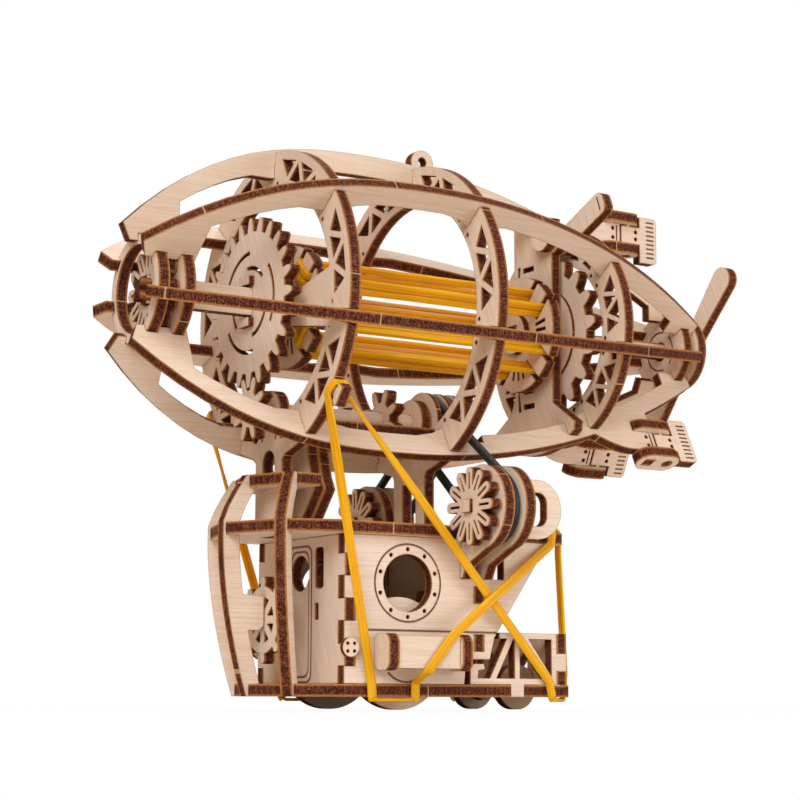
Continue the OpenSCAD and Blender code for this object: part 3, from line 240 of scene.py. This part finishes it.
def through_walls(corners, wall, depth):
    """How far through the sheet each corner of a wall is, from 0 to 1; all other corners get a half."""
    across = np.full(depth.shape, 0.5)
    strips = np.where(wall)[0]
    part = islands_of(corners[strips]) if len(strips) else np.zeros(0, int)
    for s in np.unique(part):
        rows = strips[part == s]
        low, high = depth[rows].min(), depth[rows].max()
        across[rows] = (depth[rows] - low) / max(high - low, NO_DEPTH)
    return across


def along_plate(p, run, flat):
    """How far along its plate each corner is, in metres from the middle."""
    middle = (p.reshape(-1, 3).min(0) + p.reshape(-1, 3).max(0)) / 2
    reach = p - middle
    if abs(flat[0]) > FACES_X:
        return np.arctan2(reach[..., 2], reach[..., 1]) * np.linalg.norm(reach[..., 1:], axis=2).max()
    return reach @ run


# %% [markdown]
# Now the facts can be written. Each solid also gets a random place in the sheet and a random tone, drawn from
# a seed of its own node, so that every run gives the same wood.

# %% Write the facts of every plate
WELD = 0.002 * MM
NO_AREA = 1e-15
SHEET_SPREAD = 0.4


def plate_facts(obj, seed):
    """Stores cut, across, along, tone and grain on a plywood node's corners; returns its count of solids."""
    mesh = obj.data
    points = np.zeros(len(mesh.vertices) * 3)
    mesh.vertices.foreach_get("co", points)
    points = points.reshape(-1, 3)
    loops = np.zeros(len(mesh.loops), int)
    mesh.loops.foreach_get("vertex_index", loops)
    tri = loops.reshape(-1, 3)
    cells = np.round(points / WELD).astype(np.int64)
    corners = np.unique(cells, axis=0, return_inverse=True)[1].reshape(-1)[tri]
    island = islands_of(corners)
    p = points[tri]
    normal = np.cross(p[:, 1] - p[:, 0], p[:, 2] - p[:, 0])
    area = np.linalg.norm(normal, axis=1)
    normal = normal / np.maximum(area, NO_AREA)[:, None]
    facts = {name: np.full(tri.shape, start)
             for name, start in (("cut", 0.0), ("across", 0.5), ("along", 0.0), ("tone", 0.0))}
    grain = np.zeros((len(tri), 3, 3))
    dice = np.random.default_rng(seed)
    for k in range(island.max() + 1):
        mine = np.where(island == k)[0]
        run, cross, flat, rod = grain_axes(normal[mine], area[mine])
        depth = p[mine] @ flat
        in_sheet = np.stack((p[mine] @ run, p[mine] @ cross, depth), axis=2)
        grain[mine] = in_sheet + dice.uniform(0, SHEET_SPREAD, 3)
        facts["tone"][mine] = dice.uniform(0, 1)
        if rod:
            continue
        burned, wall = burned_triangles(normal[mine] @ flat, depth.mean(1), area[mine])
        facts["cut"][mine] = burned[:, None]
        facts["across"][mine] = through_walls(corners[mine], wall, depth)
        facts["along"][mine] = along_plate(p[mine], run, flat)
    for name, values in facts.items():
        fact = mesh.attributes.new(name, "FLOAT", "CORNER")
        fact.data.foreach_set("value", values.astype(np.float32).ravel())
    fact = mesh.attributes.new("grain", "FLOAT_VECTOR", "CORNER")
    fact.data.foreach_set("vector", grain.astype(np.float32).ravel())
    return island.max() + 1


soft = {"rubber_motor", "rigging_bands", "drive_belts"}
wooden = [n for n in sorted(nodes) if n not in soft]
solids = sum(plate_facts(nodes[n], i) for i, n in enumerate(wooden))
print("plywood nodes:", len(wooden), "solids:", solids)

# %% [markdown]
# ## Laser-cut birch plywood
# Birch veneer is nearly white when sanded, warm rather than yellow, and its fibres run in fine streaks half a
# millimetre apart with short darker pores. A little smoke stains the face beside each cut.

# %% Veneer of the plywood
ply, tree, skin = new_material("birch_plywood_laser_cut")
cut = add(tree, "Attribute", out="Fac", attribute_name="cut")
across = add(tree, "Attribute", out="Fac", attribute_name="across")
along = add(tree, "Attribute", out="Fac", attribute_name="along")
tone = add(tree, "Attribute", out="Fac", attribute_name="tone")
grain = add(tree, "Attribute", out="Vector", attribute_name="grain")
# Fibres 0.5 mm apart across the grain and thirty times longer along it
fibre_at = add(tree, "Mapping", {"Vector": grain, "Scale": (60, 1900, 1900)})
fibre = add(tree, "TexNoise", {"Vector": fibre_at, "Scale": 1.0, "Detail": 4.0, "Roughness": 0.6})
veneer = add(tree, "ValToRGB", {"Fac": fibre}, stops=[(0.25, "#DAC1A5"), (0.5, "#E9D5C0"), (0.75, "#F2E5D9")])
# Broad figure: bands about 6 mm wide
figure_at = add(tree, "Mapping", {"Vector": grain, "Scale": (14, 170, 170)})
figure = add(tree, "TexNoise", {"Vector": figure_at, "Scale": 1.0, "Detail": 3.0, "Distortion": 0.6})
figured = add(tree, "Math", {0: figure, 1: 0.45}, operation="MULTIPLY")
veneer = add(tree, "Mix", {0: figured, 6: veneer, 7: linear("#DEBF9C")}, out=2, data_type="RGBA")
# Each piece comes from another place of the sheet, and is a little paler or browner
tinted = add(tree, "Math", {0: tone, 1: 0.28}, operation="MULTIPLY")
veneer = add(tree, "Mix", {0: tinted, 6: veneer, 7: linear("#D6B897")}, out=2, data_type="RGBA")
# Pores: dashes 3 mm long, drawn a little coarser than real ones so that they show
pore_at = add(tree, "Mapping", {"Vector": grain, "Scale": (330, 2600, 2600)})
pore = add(tree, "TexNoise", {"Vector": pore_at, "Scale": 1.0, "Detail": 2.0})
pored = add(tree, "MapRange", {"Value": pore, "From Min": 0.63, "From Max": 0.83, "To Max": 0.35})
veneer = add(tree, "Mix", {0: pored, 6: veneer, 7: linear("#A87B50")}, out=2, data_type="RGBA")
# Smoke beside the cuts: there a normal rounded over 0.45 mm leans away from the flat one
flat_normal = add(tree, "NewGeometry", out="Normal")
rounded = add(tree, "Bevel", {"Radius": 0.45 * MM}, samples=6)
level = add(tree, "VectorMath", {0: flat_normal, 1: rounded}, out="Value", operation="DOT_PRODUCT")
smoked = add(tree, "MapRange", {"Value": level, "From Min": 0.995, "From Max": 0.83, "To Max": 0.7})
veneer = add(tree, "Mix", {0: smoked, 6: veneer, 7: linear("#A9743F")}, out=2, data_type="RGBA")
print("veneer nodes:", len(tree.nodes))

# %% [markdown]
# The cut wall is carbon brown. The pulsing beam leaves fine stripes straight through the sheet, a quarter of
# a millimetre apart, and a mottled, glue-streaked core; towards both faces the wall turns to toasted orange.
# Here and there a pale hairline crosses the wall, where the plate was snapped out of its sheet.

# %% Burned walls of the plywood
place = add(tree, "TexCoord", out="Object")
mottle = add(tree, "TexNoise", {"Vector": place, "Scale": 2600.0, "Detail": 3.0, "Roughness": 0.7})
stripe_x = add(tree, "Math", {0: along, 1: 3600.0}, operation="MULTIPLY")
stripe_at = add(tree, "CombineXYZ", {0: stripe_x, 1: across, 2: tone})
stripe = add(tree, "TexNoise", {"Vector": stripe_at, "Scale": 1.0, "Detail": 2.0})
burn = add(tree, "Mix", {0: 0.3, 2: mottle, 3: stripe})
SOOT = [(0.37, "#260E08"), (0.5, "#4F2518"), (0.63, "#90573A")]
soot = add(tree, "ValToRGB", {"Fac": burn}, stops=SOOT)
# The toasted rim fades in over the outer fifth of the thickness on each side, and wavers along the cut
waver = add(tree, "TexNoise", {"Vector": place, "Scale": 1900.0, "Detail": 2.0})
from_middle = add(tree, "Math", {0: across, 1: 0.5}, operation="SUBTRACT")
from_middle = add(tree, "Math", {0: from_middle}, operation="ABSOLUTE")
edge = add(tree, "Math", {0: waver, 1: 0.2, 2: from_middle}, operation="MULTIPLY_ADD")
toasted = add(tree, "MapRange", {"Value": edge, "From Min": 0.38, "From Max": 0.62})
wall = add(tree, "Mix", {0: toasted, 6: soot, 7: linear("#C98A4E")}, out=2, data_type="RGBA")
# Hairlines: 0.3 mm wide, about 45 mm apart
snap_at = add(tree, "Math", {0: along, 1: 22.0, 2: tone}, operation="MULTIPLY_ADD")
snap_at = add(tree, "Math", {0: snap_at}, operation="FRACT")
snap = add(tree, "Math", {0: snap_at, 1: 0.0066}, operation="LESS_THAN")
snap = add(tree, "Math", {0: snap, 1: 0.7}, operation="MULTIPLY")
wall = add(tree, "Mix", {0: snap, 6: wall, 7: linear("#D9B083")}, out=2, data_type="RGBA")
print("with walls:", len(tree.nodes))

# %% Finish of the plywood
colour = add(tree, "Mix", {0: cut, 6: veneer, 7: wall}, out=2, data_type="RGBA")
tree.links.new(colour, skin.inputs["Base Color"])
dull = add(tree, "Math", {0: cut, 1: 0.25, 2: 0.55}, operation="MULTIPLY_ADD")
tree.links.new(dull, skin.inputs["Roughness"])
skin.inputs["IOR"].default_value = 1.45
skin.inputs["Specular IOR Level"].default_value = 0.12
lumps = add(tree, "Mix", {0: cut, 2: fibre, 3: burn})
bump = add(tree, "Bump", {"Height": lumps, "Strength": 0.25, "Distance": 0.05 * MM, "Normal": rounded})
tree.links.new(bump, skin.inputs["Normal"])
for name in wooden:
    nodes[name].data.materials.clear()
    nodes[name].data.materials.append(ply)
print("birch plywood on", len(wooden), "nodes")

# %% [markdown]
# ## Rubber
# The bands are natural rubber, coloured yellow and cut from tube, so their surface is matt and a little
# translucent, with fine lines along the strip. The belts are moulded rings of black rubber with a dull sheen.

# %% Yellow rubber
yellow, tree, skin = new_material("natural_rubber_yellow")
strip_at = add(tree, "Attribute", out="Vector", attribute_name="grain")
# Drawn lines 0.45 mm apart along the band
line_at = add(tree, "Mapping", {"Vector": strip_at, "Scale": (30, 2200, 2200)})
line = add(tree, "TexNoise", {"Vector": line_at, "Scale": 1.0, "Detail": 3.0})
colour = add(tree, "ValToRGB", {"Fac": line}, stops=[(0.3, "#D59200"), (0.5, "#E9A902"), (0.72, "#F2BA0C")])
tree.links.new(colour, skin.inputs["Base Color"])
skin.inputs["Roughness"].default_value = 0.55
skin.inputs["IOR"].default_value = 1.52
skin.inputs["Specular IOR Level"].default_value = 0.2
# Light gets about 2 mm into the rubber
skin.inputs["Subsurface Weight"].default_value = 0.5
skin.inputs["Subsurface Scale"].default_value = 1.0
skin.inputs["Subsurface Radius"].default_value = (0.002, 0.0013, 0.0003)
bump = add(tree, "Bump", {"Height": line, "Strength": 0.2, "Distance": 0.05 * MM})
tree.links.new(bump, skin.inputs["Normal"])
print("yellow rubber nodes:", len(tree.nodes))

# %% Black rubber
black, tree, skin = new_material("nitrile_rubber_black")
place = add(tree, "TexCoord", out="Object")
# Dust and mould texture about 1 mm across
dust = add(tree, "TexNoise", {"Vector": place, "Scale": 900.0, "Detail": 3.0})
colour = add(tree, "ValToRGB", {"Fac": dust}, stops=[(0.35, "#0E0E0E"), (0.7, "#201F1E")])
tree.links.new(colour, skin.inputs["Base Color"])
skin.inputs["Roughness"].default_value = 0.55
skin.inputs["IOR"].default_value = 1.52
skin.inputs["Specular IOR Level"].default_value = 0.35
bump = add(tree, "Bump", {"Height": dust, "Strength": 0.15, "Distance": 0.05 * MM})
tree.links.new(bump, skin.inputs["Normal"])
print("black rubber nodes:", len(tree.nodes))

# %% [markdown]
# ## The rubber motor
# Eight bands lie between the two hook discs, two on each of four hooks. When a disc turns, the strands twist
# into a rope. One band is modelled as by hand: a plane of the band's size gets rounded corners, only its rim
# is kept, the rim is raised to a ribbon, and Solidify and Bevel give it the thickness and soft edges of
# rubber. It is then cut across the middle into a front half, next to the front disc, and a rear half, next
# to the rear one.

# %% One motor band, lying flat
motor_low, motor_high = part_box("rubber_motor")
BAND_T, BAND_H, BAND_STEP = 1.2 * MM, 1.9 * MM, 2.25 * MM
BAND_LOW, HOOK_HALF = 8.4 * MM, 2.6 * MM
BAND_CORNER, BAND_SOFT_EDGE = 1.5 * MM, 0.28 * MM
# Cuts along each strand, so that it can twist smoothly
STRAND_CUTS = 95
motor_x = (motor_low.x + motor_high.x) / 2
band_long = motor_high.x - motor_low.x
band_wide = 2 * (HOOK_HALF + BAND_T)
bpy.ops.object.select_all(action="DESELECT")
bpy.ops.mesh.primitive_plane_add(size=1, location=(motor_x, 0, 0))
flat_band = bpy.context.object
flat_band.scale = (band_long, band_wide, 1)
bpy.ops.object.transform_apply(location=True, rotation=True, scale=True)
bpy.ops.object.mode_set(mode="EDIT")
bpy.ops.mesh.select_all(action="SELECT")
bpy.ops.mesh.bevel(offset=BAND_CORNER, segments=6, affect="VERTICES")
bpy.ops.mesh.delete(type="ONLY_FACE")
bpy.ops.object.mode_set(mode="OBJECT")
rim = flat_band.data
for edge in rim.edges:
    a, b = (rim.vertices[i].co for i in edge.vertices)
    edge.select = abs(a.x - b.x) > band_long / 2
bpy.ops.object.mode_set(mode="EDIT")
bpy.ops.mesh.select_mode(type="EDGE")
bpy.ops.mesh.subdivide(number_cuts=STRAND_CUTS)
bpy.ops.mesh.select_all(action="SELECT")
bpy.ops.mesh.extrude_edges_move(TRANSFORM_OT_translate={"value": (0, 0, BAND_H)})
bpy.ops.mesh.select_all(action="SELECT")
bpy.ops.mesh.normals_make_consistent(inside=False)
bpy.ops.object.mode_set(mode="OBJECT")
ribbon = flat_band.modifiers.new("thickness", "SOLIDIFY")
ribbon.thickness = BAND_T
ribbon.offset = -1
ribbon.use_even_offset = True
bpy.ops.object.modifier_apply(modifier="thickness")
soft_edge = flat_band.modifiers.new("soft_edge", "BEVEL")
soft_edge.width = BAND_SOFT_EDGE
soft_edge.segments = 3
soft_edge.limit_method = "ANGLE"
soft_edge.angle_limit = math.radians(60)
bpy.ops.object.modifier_apply(modifier="soft_edge")
print("flat band:", len(rim.polygons), "faces,", [round(v / MM, 2) for v in flat_band.dimensions], "mm")

# %% Cut the band in two halves
halves = {}
for label, way in (("front", 1), ("rear", -1)):
    bpy.ops.object.select_all(action="DESELECT")
    half = flat_band.copy()
    half.data = flat_band.data.copy()
    bpy.context.scene.collection.objects.link(half)
    half.select_set(True)
    bpy.context.view_layer.objects.active = half
    bpy.ops.object.mode_set(mode="EDIT")
    bpy.ops.mesh.select_all(action="SELECT")
    bpy.ops.mesh.bisect(plane_co=(motor_x, 0, 0), plane_no=(way, 0, 0), use_fill=True, clear_outer=True)
    bpy.ops.mesh.select_all(action="SELECT")
    bpy.ops.mesh.normals_make_consistent(inside=False)
    bpy.ops.object.mode_set(mode="OBJECT")
    bpy.ops.object.shade_smooth_by_angle(angle=math.radians(40))
    halves[label] = half
print("halves:", {k: len(h.data.polygons) for k, h in halves.items()})

# %% [markdown]
# The halves are copied to their hooks, each copy with its own mesh. Real bands are never quite straight, so
# each strand sways by a tenth of a millimetre. The drawn lines of the rubber follow the strand, and a point
# attribute, written before the sway, keeps them on the strand as it sways.

# %% Copy the bands to the hooks
HOOKS, LAYERS, FIRST_TURN = 4, 2, -45
SWAY = 0.1 * MM
# Each half, the disc at its end, and that end of the band, where it lies on its hook; the sway fades out
# towards it
ENDS = (("front", "front_rotor", motor_low.x), ("rear", "tail_rotor", motor_high.x))
axis_z = (motor_low.z + motor_high.z) / 2
for hook in range(HOOKS):
    for layer in range(LAYERS):
        turn = math.radians(FIRST_TURN + hook * 360 / HOOKS)
        lift = BAND_LOW + layer * BAND_STEP
        for label, body, end_x in ENDS:
            name = "motor_band_%s_%d_%d" % (label, hook + 1, layer + 1)
            band = bpy.data.objects.new(name, halves[label].data.copy())
            bpy.context.scene.collection.objects.link(band)
            co = np.zeros(len(band.data.vertices) * 3)
            band.data.vertices.foreach_get("co", co)
            co = co.reshape(-1, 3)
            share = np.clip(np.abs(co[:, 0] - motor_x) / abs(end_x - motor_x), 0, 1)
            # Any phases will do, as long as the strands differ
            phase = 1.7 * hook + 2.1 * layer + np.where(co[:, 1] > 0, 1.3, 0.0)
            sway = SWAY * np.sin(5 * share + phase) * np.sin(np.pi * share)
            strip = band.data.attributes.new("grain", "FLOAT_VECTOR", "POINT")
            strip.data.foreach_set("vector", (co + phase[:, None]).astype(np.float32).ravel())
            co[:, 1] += sway
            co[:, 2] += lift + 0.5 * sway
            band.data.vertices.foreach_set("co", co.ravel())
            band.data.transform(Matrix.Translation((0, 0, axis_z)) @ Matrix.Rotation(turn, 4, "X"))
            band.data.materials.append(yellow)
            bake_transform(band)
            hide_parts("rubber_motor")
for spare in (flat_band, *halves.values()):
    bpy.data.objects.remove(spare)
print("motor bands:", LAYERS * HOOKS, "of", round(band_long / MM, 1), "mm")

# %% [markdown]
# ## Drive belts
# A moulded ring of rubber runs from the twin pulley on the lower shaft to each engine. Its section is a
# circle. By hand it is spun round the engine's pulley, drawn straight along the common tangent, spun round
# the pulley on the lower shaft and drawn back to where it began, where the ends are merged. The spin operator
# turns left-handed about its axis, so the angles are negative.

# %% Drive belts
BELT_R, BELT_SIDES, BELT_STEPS = 1.1 * MM, 20, 36
# From a pulley's middle to the middle of the belt's section
SHAFT_REACH, ENGINE_REACH = 5.7 * MM + BELT_R, 7.1 * MM + BELT_R
SHAFT_Z = (-26.6 + HULL[2]) * MM
ENGINE_Y, ENGINE_Z = 30.3 * MM, (-50.5 + HULL[2]) * MM
BELT_X = {"port": (6.1 + HULL[0]) * MM, "starboard": (9.9 + HULL[0]) * MM}
for label, side in (("port", -1), ("starboard", 1)):
    engine = Vector((BELT_X[label], side * ENGINE_Y, ENGINE_Z))
    pulley = Vector((BELT_X[label], 0, SHAFT_Z))
    run = pulley - engine
    head = math.atan2(run.z, run.y)
    lean = math.acos((ENGINE_REACH - SHAFT_REACH) / run.length)
    first = head + lean
    radial = Vector((0, math.cos(first), math.sin(first)))
    last = Vector((0, math.cos(head - lean), math.sin(head - lean)))
    to_shaft = (pulley + last * SHAFT_REACH) - (engine + last * ENGINE_REACH)
    to_engine = (engine + radial * ENGINE_REACH) - (pulley + radial * SHAFT_REACH)
    bpy.ops.object.select_all(action="DESELECT")
    bpy.ops.mesh.primitive_circle_add(vertices=BELT_SIDES, radius=BELT_R, fill_type="NOTHING",
                                      location=engine + radial * ENGINE_REACH, rotation=(first, 0, 0))
    belt = bpy.context.object
    belt.name = belt.data.name = "drive_belt_" + label
    bpy.ops.object.transform_apply(location=True, rotation=True, scale=True)
    bpy.ops.object.mode_set(mode="EDIT")
    bpy.ops.mesh.select_all(action="SELECT")
    bpy.ops.mesh.spin(steps=BELT_STEPS, angle=2 * lean - 2 * math.pi, center=engine, axis=(1, 0, 0))
    bpy.ops.mesh.extrude_edges_move(TRANSFORM_OT_translate={"value": to_shaft})
    bpy.ops.mesh.spin(steps=BELT_STEPS, angle=-2 * lean, center=pulley, axis=(1, 0, 0))
    bpy.ops.mesh.extrude_edges_move(TRANSFORM_OT_translate={"value": to_engine})
    bpy.ops.mesh.select_all(action="SELECT")
    bpy.ops.mesh.remove_doubles(threshold=0.01 * MM)
    bpy.ops.mesh.normals_make_consistent(inside=False)
    bpy.ops.object.mode_set(mode="OBJECT")
    bpy.ops.object.shade_smooth()
    belt.data.materials.append(black)
    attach(belt, "frame")
    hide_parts("drive_belts")
    print(belt.name, len(belt.data.vertices), "points", [round(v / MM, 2) for v in belt.dimensions])

# %% [markdown]
# ## Rigging bands
# On each side one long flat band holds the hull down: it hangs on a peg of the front ring, passes under the
# floor, crosses the tank, wraps the rear corner of the deck, drops to the floor and comes back to the peg.
# It is stretched, so its runs are straight, and it rounds each edge closely. A curve with a bevel would roll
# its section freely, and a flat band must keep its flat side against what it is stretched over. So this one
# is skinned station by station: each stop below has a point in hull millimetres and the direction in which
# the band is pressed.

# %% Stops of the rigging band
RIG_W, RIG_T = 2.3 * MM, 0.8 * MM
# The port peg of the front ring and its upper side, both in Y and Z
PEG, UP_PEG = np.array((-31.1356, -25.2131)), np.array((-0.62932, 0.777146))
ROUND_PEG = ((-42.3, -0.8), (-37.1, -0.8), (-37.65, 2.0), (-41.35, 2.0))
peg_spots = [np.array((x, *(PEG + lift * UP_PEG))) for x, lift in ROUND_PEG]
front_foot, rear_foot = np.array((-24.6, -22.2, -92.5)), np.array((27.8, -22.4, -92.7))
IN, UP, DOWN, FORE, AFT = (0, 1, 0), (0, 0, 1), (0, 0, -1), (-1, 0, 0), (1, 0, 0)
OVER_PEG = (0, *-UP_PEG)
rig_stops = [
    (peg_spots[0], AFT),
    (peg_spots[0] * 0.75 + front_foot * 0.25, (0.8, 0.6, 0)),
    (peg_spots[0] * 0.5 + front_foot * 0.5, IN),
    (front_foot, IN),
    ((-24.3, -22.2, -96.6), IN), ((-23.6, -21.4, -97.25), UP),
    ((-12.9, -21.4, -97.25), UP), ((-12.2, -22.2, -96.6), IN),
    ((-12.2, -22.3, -93.1), IN), ((-12.3, -28.0, -90.6), IN),
    ((-11.6, -28.3, -89.6), IN), ((-5.3, -28.3, -81.9), IN),
    ((28.7, -22.2, -58.1), IN), ((30.1, -21.1, -54.5), IN),
    ((30.9, -19.7, -53.75), DOWN), ((34.7, -16.2, -54.05), DOWN),
    ((35.75, -15.8, -54.75), FORE), ((35.75, -15.8, -59.8), FORE),
    ((35.75, -18.0, -90.5), FORE), ((35.1, -18.2, -96.65), FORE),
    ((34.0, -18.8, -97.25), UP), ((29.8, -21.4, -97.25), UP),
    ((28.8, -22.2, -96.6), IN), (rear_foot, IN),
    (rear_foot * 0.4 + peg_spots[1] * 0.6, IN),
    (rear_foot * 0.15 + peg_spots[1] * 0.85, (-0.7, 0.7, 0)),
    (peg_spots[1], FORE), (peg_spots[2], OVER_PEG), (peg_spots[3], OVER_PEG)]
print("rigging stops:", len(rig_stops))

# %% Stations along the rigging band
# In millimetres; a corner takes at most this share of the run beside it
ROUND_OFF, STEP = 0.5, 1.5
CORNER_SHARE, CORNER_STATIONS = 0.45, 5


def rounded_route(stops):
    """Straight runs between stops with each corner rounded off, and the thin direction carried along."""
    route, thin = [], []
    count = len(stops)
    spots = [np.array(s[0], float) for s in stops]
    flats = [np.array(s[1], float) for s in stops]
    for i in range(count):
        before, here, after = spots[i - 1], spots[i], spots[(i + 1) % count]
        into, away = here - before, after - here
        long_in, long_away = np.linalg.norm(into), np.linalg.norm(away)
        enter = here - into / long_in * min(ROUND_OFF, long_in * CORNER_SHARE)
        leave = here + away / long_away * min(ROUND_OFF, long_away * CORNER_SHARE)
        arrive = after - away / long_away * min(ROUND_OFF, long_away * CORNER_SHARE)
        for t in np.linspace(0, 1, CORNER_STATIONS):
            route.append(enter * (1 - t) ** 2 + here * 2 * t * (1 - t) + leave * t * t)
            thin.append(flats[i])
        steps = int(np.linalg.norm(arrive - leave) / STEP)
        for t in np.arange(1, steps) / max(steps, 1):
            route.append(leave * (1 - t) + arrive * t)
            thin.append(flats[i] * (1 - t) + flats[(i + 1) % count] * t)
    return np.array(route), np.array(thin)


rig_route, rig_thin = rounded_route(rig_stops)
print("rigging band stations:", len(rig_route))

# %% Skin the rigging bands
# The section is a superellipse: the higher its power, the squarer its corners
SIDES, SQUARENESS = 16, 5.0


def flat_band_skin(name, route, thin):
    """A closed flat band along route, in metres; thin is the direction of its small side at each station."""
    count = len(route)
    ahead = np.roll(route, -1, 0) - np.roll(route, 1, 0)
    ahead /= np.linalg.norm(ahead, axis=1)[:, None]
    thin = thin - ahead * (thin * ahead).sum(1)[:, None]
    thin /= np.linalg.norm(thin, axis=1)[:, None]
    broad = np.cross(ahead, thin)
    turn = 2 * np.pi * (np.arange(SIDES) + 0.5) / SIDES
    c, s = np.cos(turn), np.sin(turn)
    swell = (np.abs(c) ** SQUARENESS + np.abs(s) ** SQUARENESS) ** (-1 / SQUARENESS)
    section = np.stack((c * swell * RIG_W / 2, s * swell * RIG_T / 2), 1)
    points = route[:, None] + broad[:, None] * section[None, :, :1] + thin[:, None] * section[None, :, 1:]
    faces = [(k * SIDES + i, k * SIDES + j, m * SIDES + j, m * SIDES + i)
             for k, m in ((k, (k + 1) % count) for k in range(count))
             for i, j in ((i, (i + 1) % SIDES) for i in range(SIDES))]
    mesh = bpy.data.meshes.new(name)
    mesh.from_pydata(points.reshape(-1, 3).tolist(), [], faces)
    length = np.concatenate(([0.0], np.cumsum(np.linalg.norm(np.diff(route, axis=0), axis=1))))
    facts = np.zeros((count, SIDES, 3))
    facts[:, :, 0] = length[:, None]
    facts[:, :, 1:] = section[None]
    strip = mesh.attributes.new("grain", "FLOAT_VECTOR", "POINT")
    strip.data.foreach_set("vector", facts.astype(np.float32).ravel())
    band = bpy.data.objects.new(name, mesh)
    bpy.context.scene.collection.objects.link(band)
    return band


for side, label in ((1, "port"), (-1, "starboard")):
    flip = np.array((1, side, 1))
    band = flat_band_skin("rigging_band_" + label, (rig_route * flip + HULL) * MM, rig_thin * flip)
    bpy.ops.object.select_all(action="DESELECT")
    band.select_set(True)
    bpy.context.view_layer.objects.active = band
    bpy.ops.object.mode_set(mode="EDIT")
    bpy.ops.mesh.select_all(action="SELECT")
    bpy.ops.mesh.normals_make_consistent(inside=False)
    bpy.ops.object.mode_set(mode="OBJECT")
    bpy.ops.object.shade_smooth_by_angle(angle=math.radians(50))
    band.data.materials.append(yellow)
    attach(band, "frame")
    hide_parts("rigging_bands")
    print(band.name, len(band.data.polygons), "faces")

# %% [markdown]
# ## Floor, light and background
# The photograph is a cut-out on white. The floor is a pale disc that fades out before it meets the horizon.
# To the camera most of its colour is plain white paper, so that only the soft shadow under the wheels is
# left.

# %% Floor
FLOOR_R, FLOOR_SOLID, FLOOR_GONE = 400 * MM, 150 * MM, 300 * MM
# A hair below the wheels
FLOOR_DROP = 0.2 * MM
WHITE_SHARE = 0.93
bpy.ops.object.select_all(action="DESELECT")
bpy.ops.mesh.primitive_circle_add(vertices=96, radius=FLOOR_R, fill_type="NGON", location=(0, 0, 0))
floor = bpy.context.object
floor.name = "floor"
floor.data.transform(Matrix.Translation((0, 0, -FLOOR_DROP)))
paper, tree, skin = new_material("white_paper_sweep")
skin.inputs["Base Color"].default_value = linear("#F3ECE3")
skin.inputs["Roughness"].default_value = 0.9
spot = add(tree, "TexCoord", out="Object")
reach = add(tree, "VectorMath", {0: spot}, out="Value", operation="LENGTH")
gone = add(tree, "MapRange", {"Value": reach, "From Min": FLOOR_SOLID, "From Max": FLOOR_GONE})
glow = add(tree, "Emission", {"Color": (1, 1, 1, 1), "Strength": 1.0})
seen = add(tree, "LightPath", out="Is Camera Ray")
white_share = add(tree, "Math", {0: seen, 1: WHITE_SHARE}, operation="MULTIPLY")
sheet = add(tree, "MixShader", {0: white_share, 1: skin.outputs[0], 2: glow})
clear = add(tree, "BsdfTransparent")
faded = add(tree, "MixShader", {0: gone, 1: sheet, 2: clear})
paper_out = [n for n in tree.nodes if n.type == "OUTPUT_MATERIAL"][0]
tree.links.new(faded, paper_out.inputs["Surface"])
floor.data.materials.append(paper)
print("floor fades out at", FLOOR_GONE, "m")

# %% [markdown]
# Four large soft lamps light the model at a plain level, and the world is white only to the camera and to
# reflections, so that the background is white without washing out the pale wood.

# %% Background
world = bpy.data.worlds.new("studio")
bpy.context.scene.world = world
world.use_nodes = True
sky = world.node_tree
sky.nodes.clear()
path = add(sky, "LightPath").node
seen = path.outputs["Is Camera Ray"]
for other in ("Is Glossy Ray", "Is Transmission Ray"):
    seen = add(sky, "Math", {0: seen, 1: path.outputs[other]}, operation="MAXIMUM")
dim = add(sky, "Background", {"Color": linear("#FFD6AE"), "Strength": 0.28})
white = add(sky, "Background", {"Color": (1, 1, 1, 1), "Strength": 1.0})
both = add(sky, "MixShader", {0: seen, 1: dim, 2: white})
add(sky, "OutputWorld", {"Surface": both})
bpy.context.scene.view_settings.view_transform = "Standard"
print("world nodes:", len(sky.nodes))

# %% Lamps
# Daylight tubes: a trace of blue
LAMP_COLOUR = linear("#F0F6FF")[:3]
LAMP_SIZE = 0.6
# All lamps look at the middle of the model
LAMP_AIM = Vector((0, 0, 0.08))
# Name, place in metres and power in watts
LAMPS = (("key_softbox", (-0.55, -0.55, 0.55), 7.0), ("fill_softbox", (0.5, -0.7, 0.15), 3.5),
         ("top_softbox", (0.15, 0.35, 0.8), 4.6), ("back_softbox", (0.3, 0.7, 0.1), 2.0))
for name, spot, power in LAMPS:
    lamp = bpy.data.lights.new(name, "AREA")
    lamp.shape = "SQUARE"
    lamp.size = LAMP_SIZE
    lamp.energy = power
    lamp.color = LAMP_COLOUR
    softbox = bpy.data.objects.new(name, lamp)
    bpy.context.scene.collection.objects.link(softbox)
    softbox.location = spot
    softbox.rotation_euler = (LAMP_AIM - Vector(spot)).to_track_quat("-Z", "Y").to_euler()
print("lamps:", len(LAMPS))
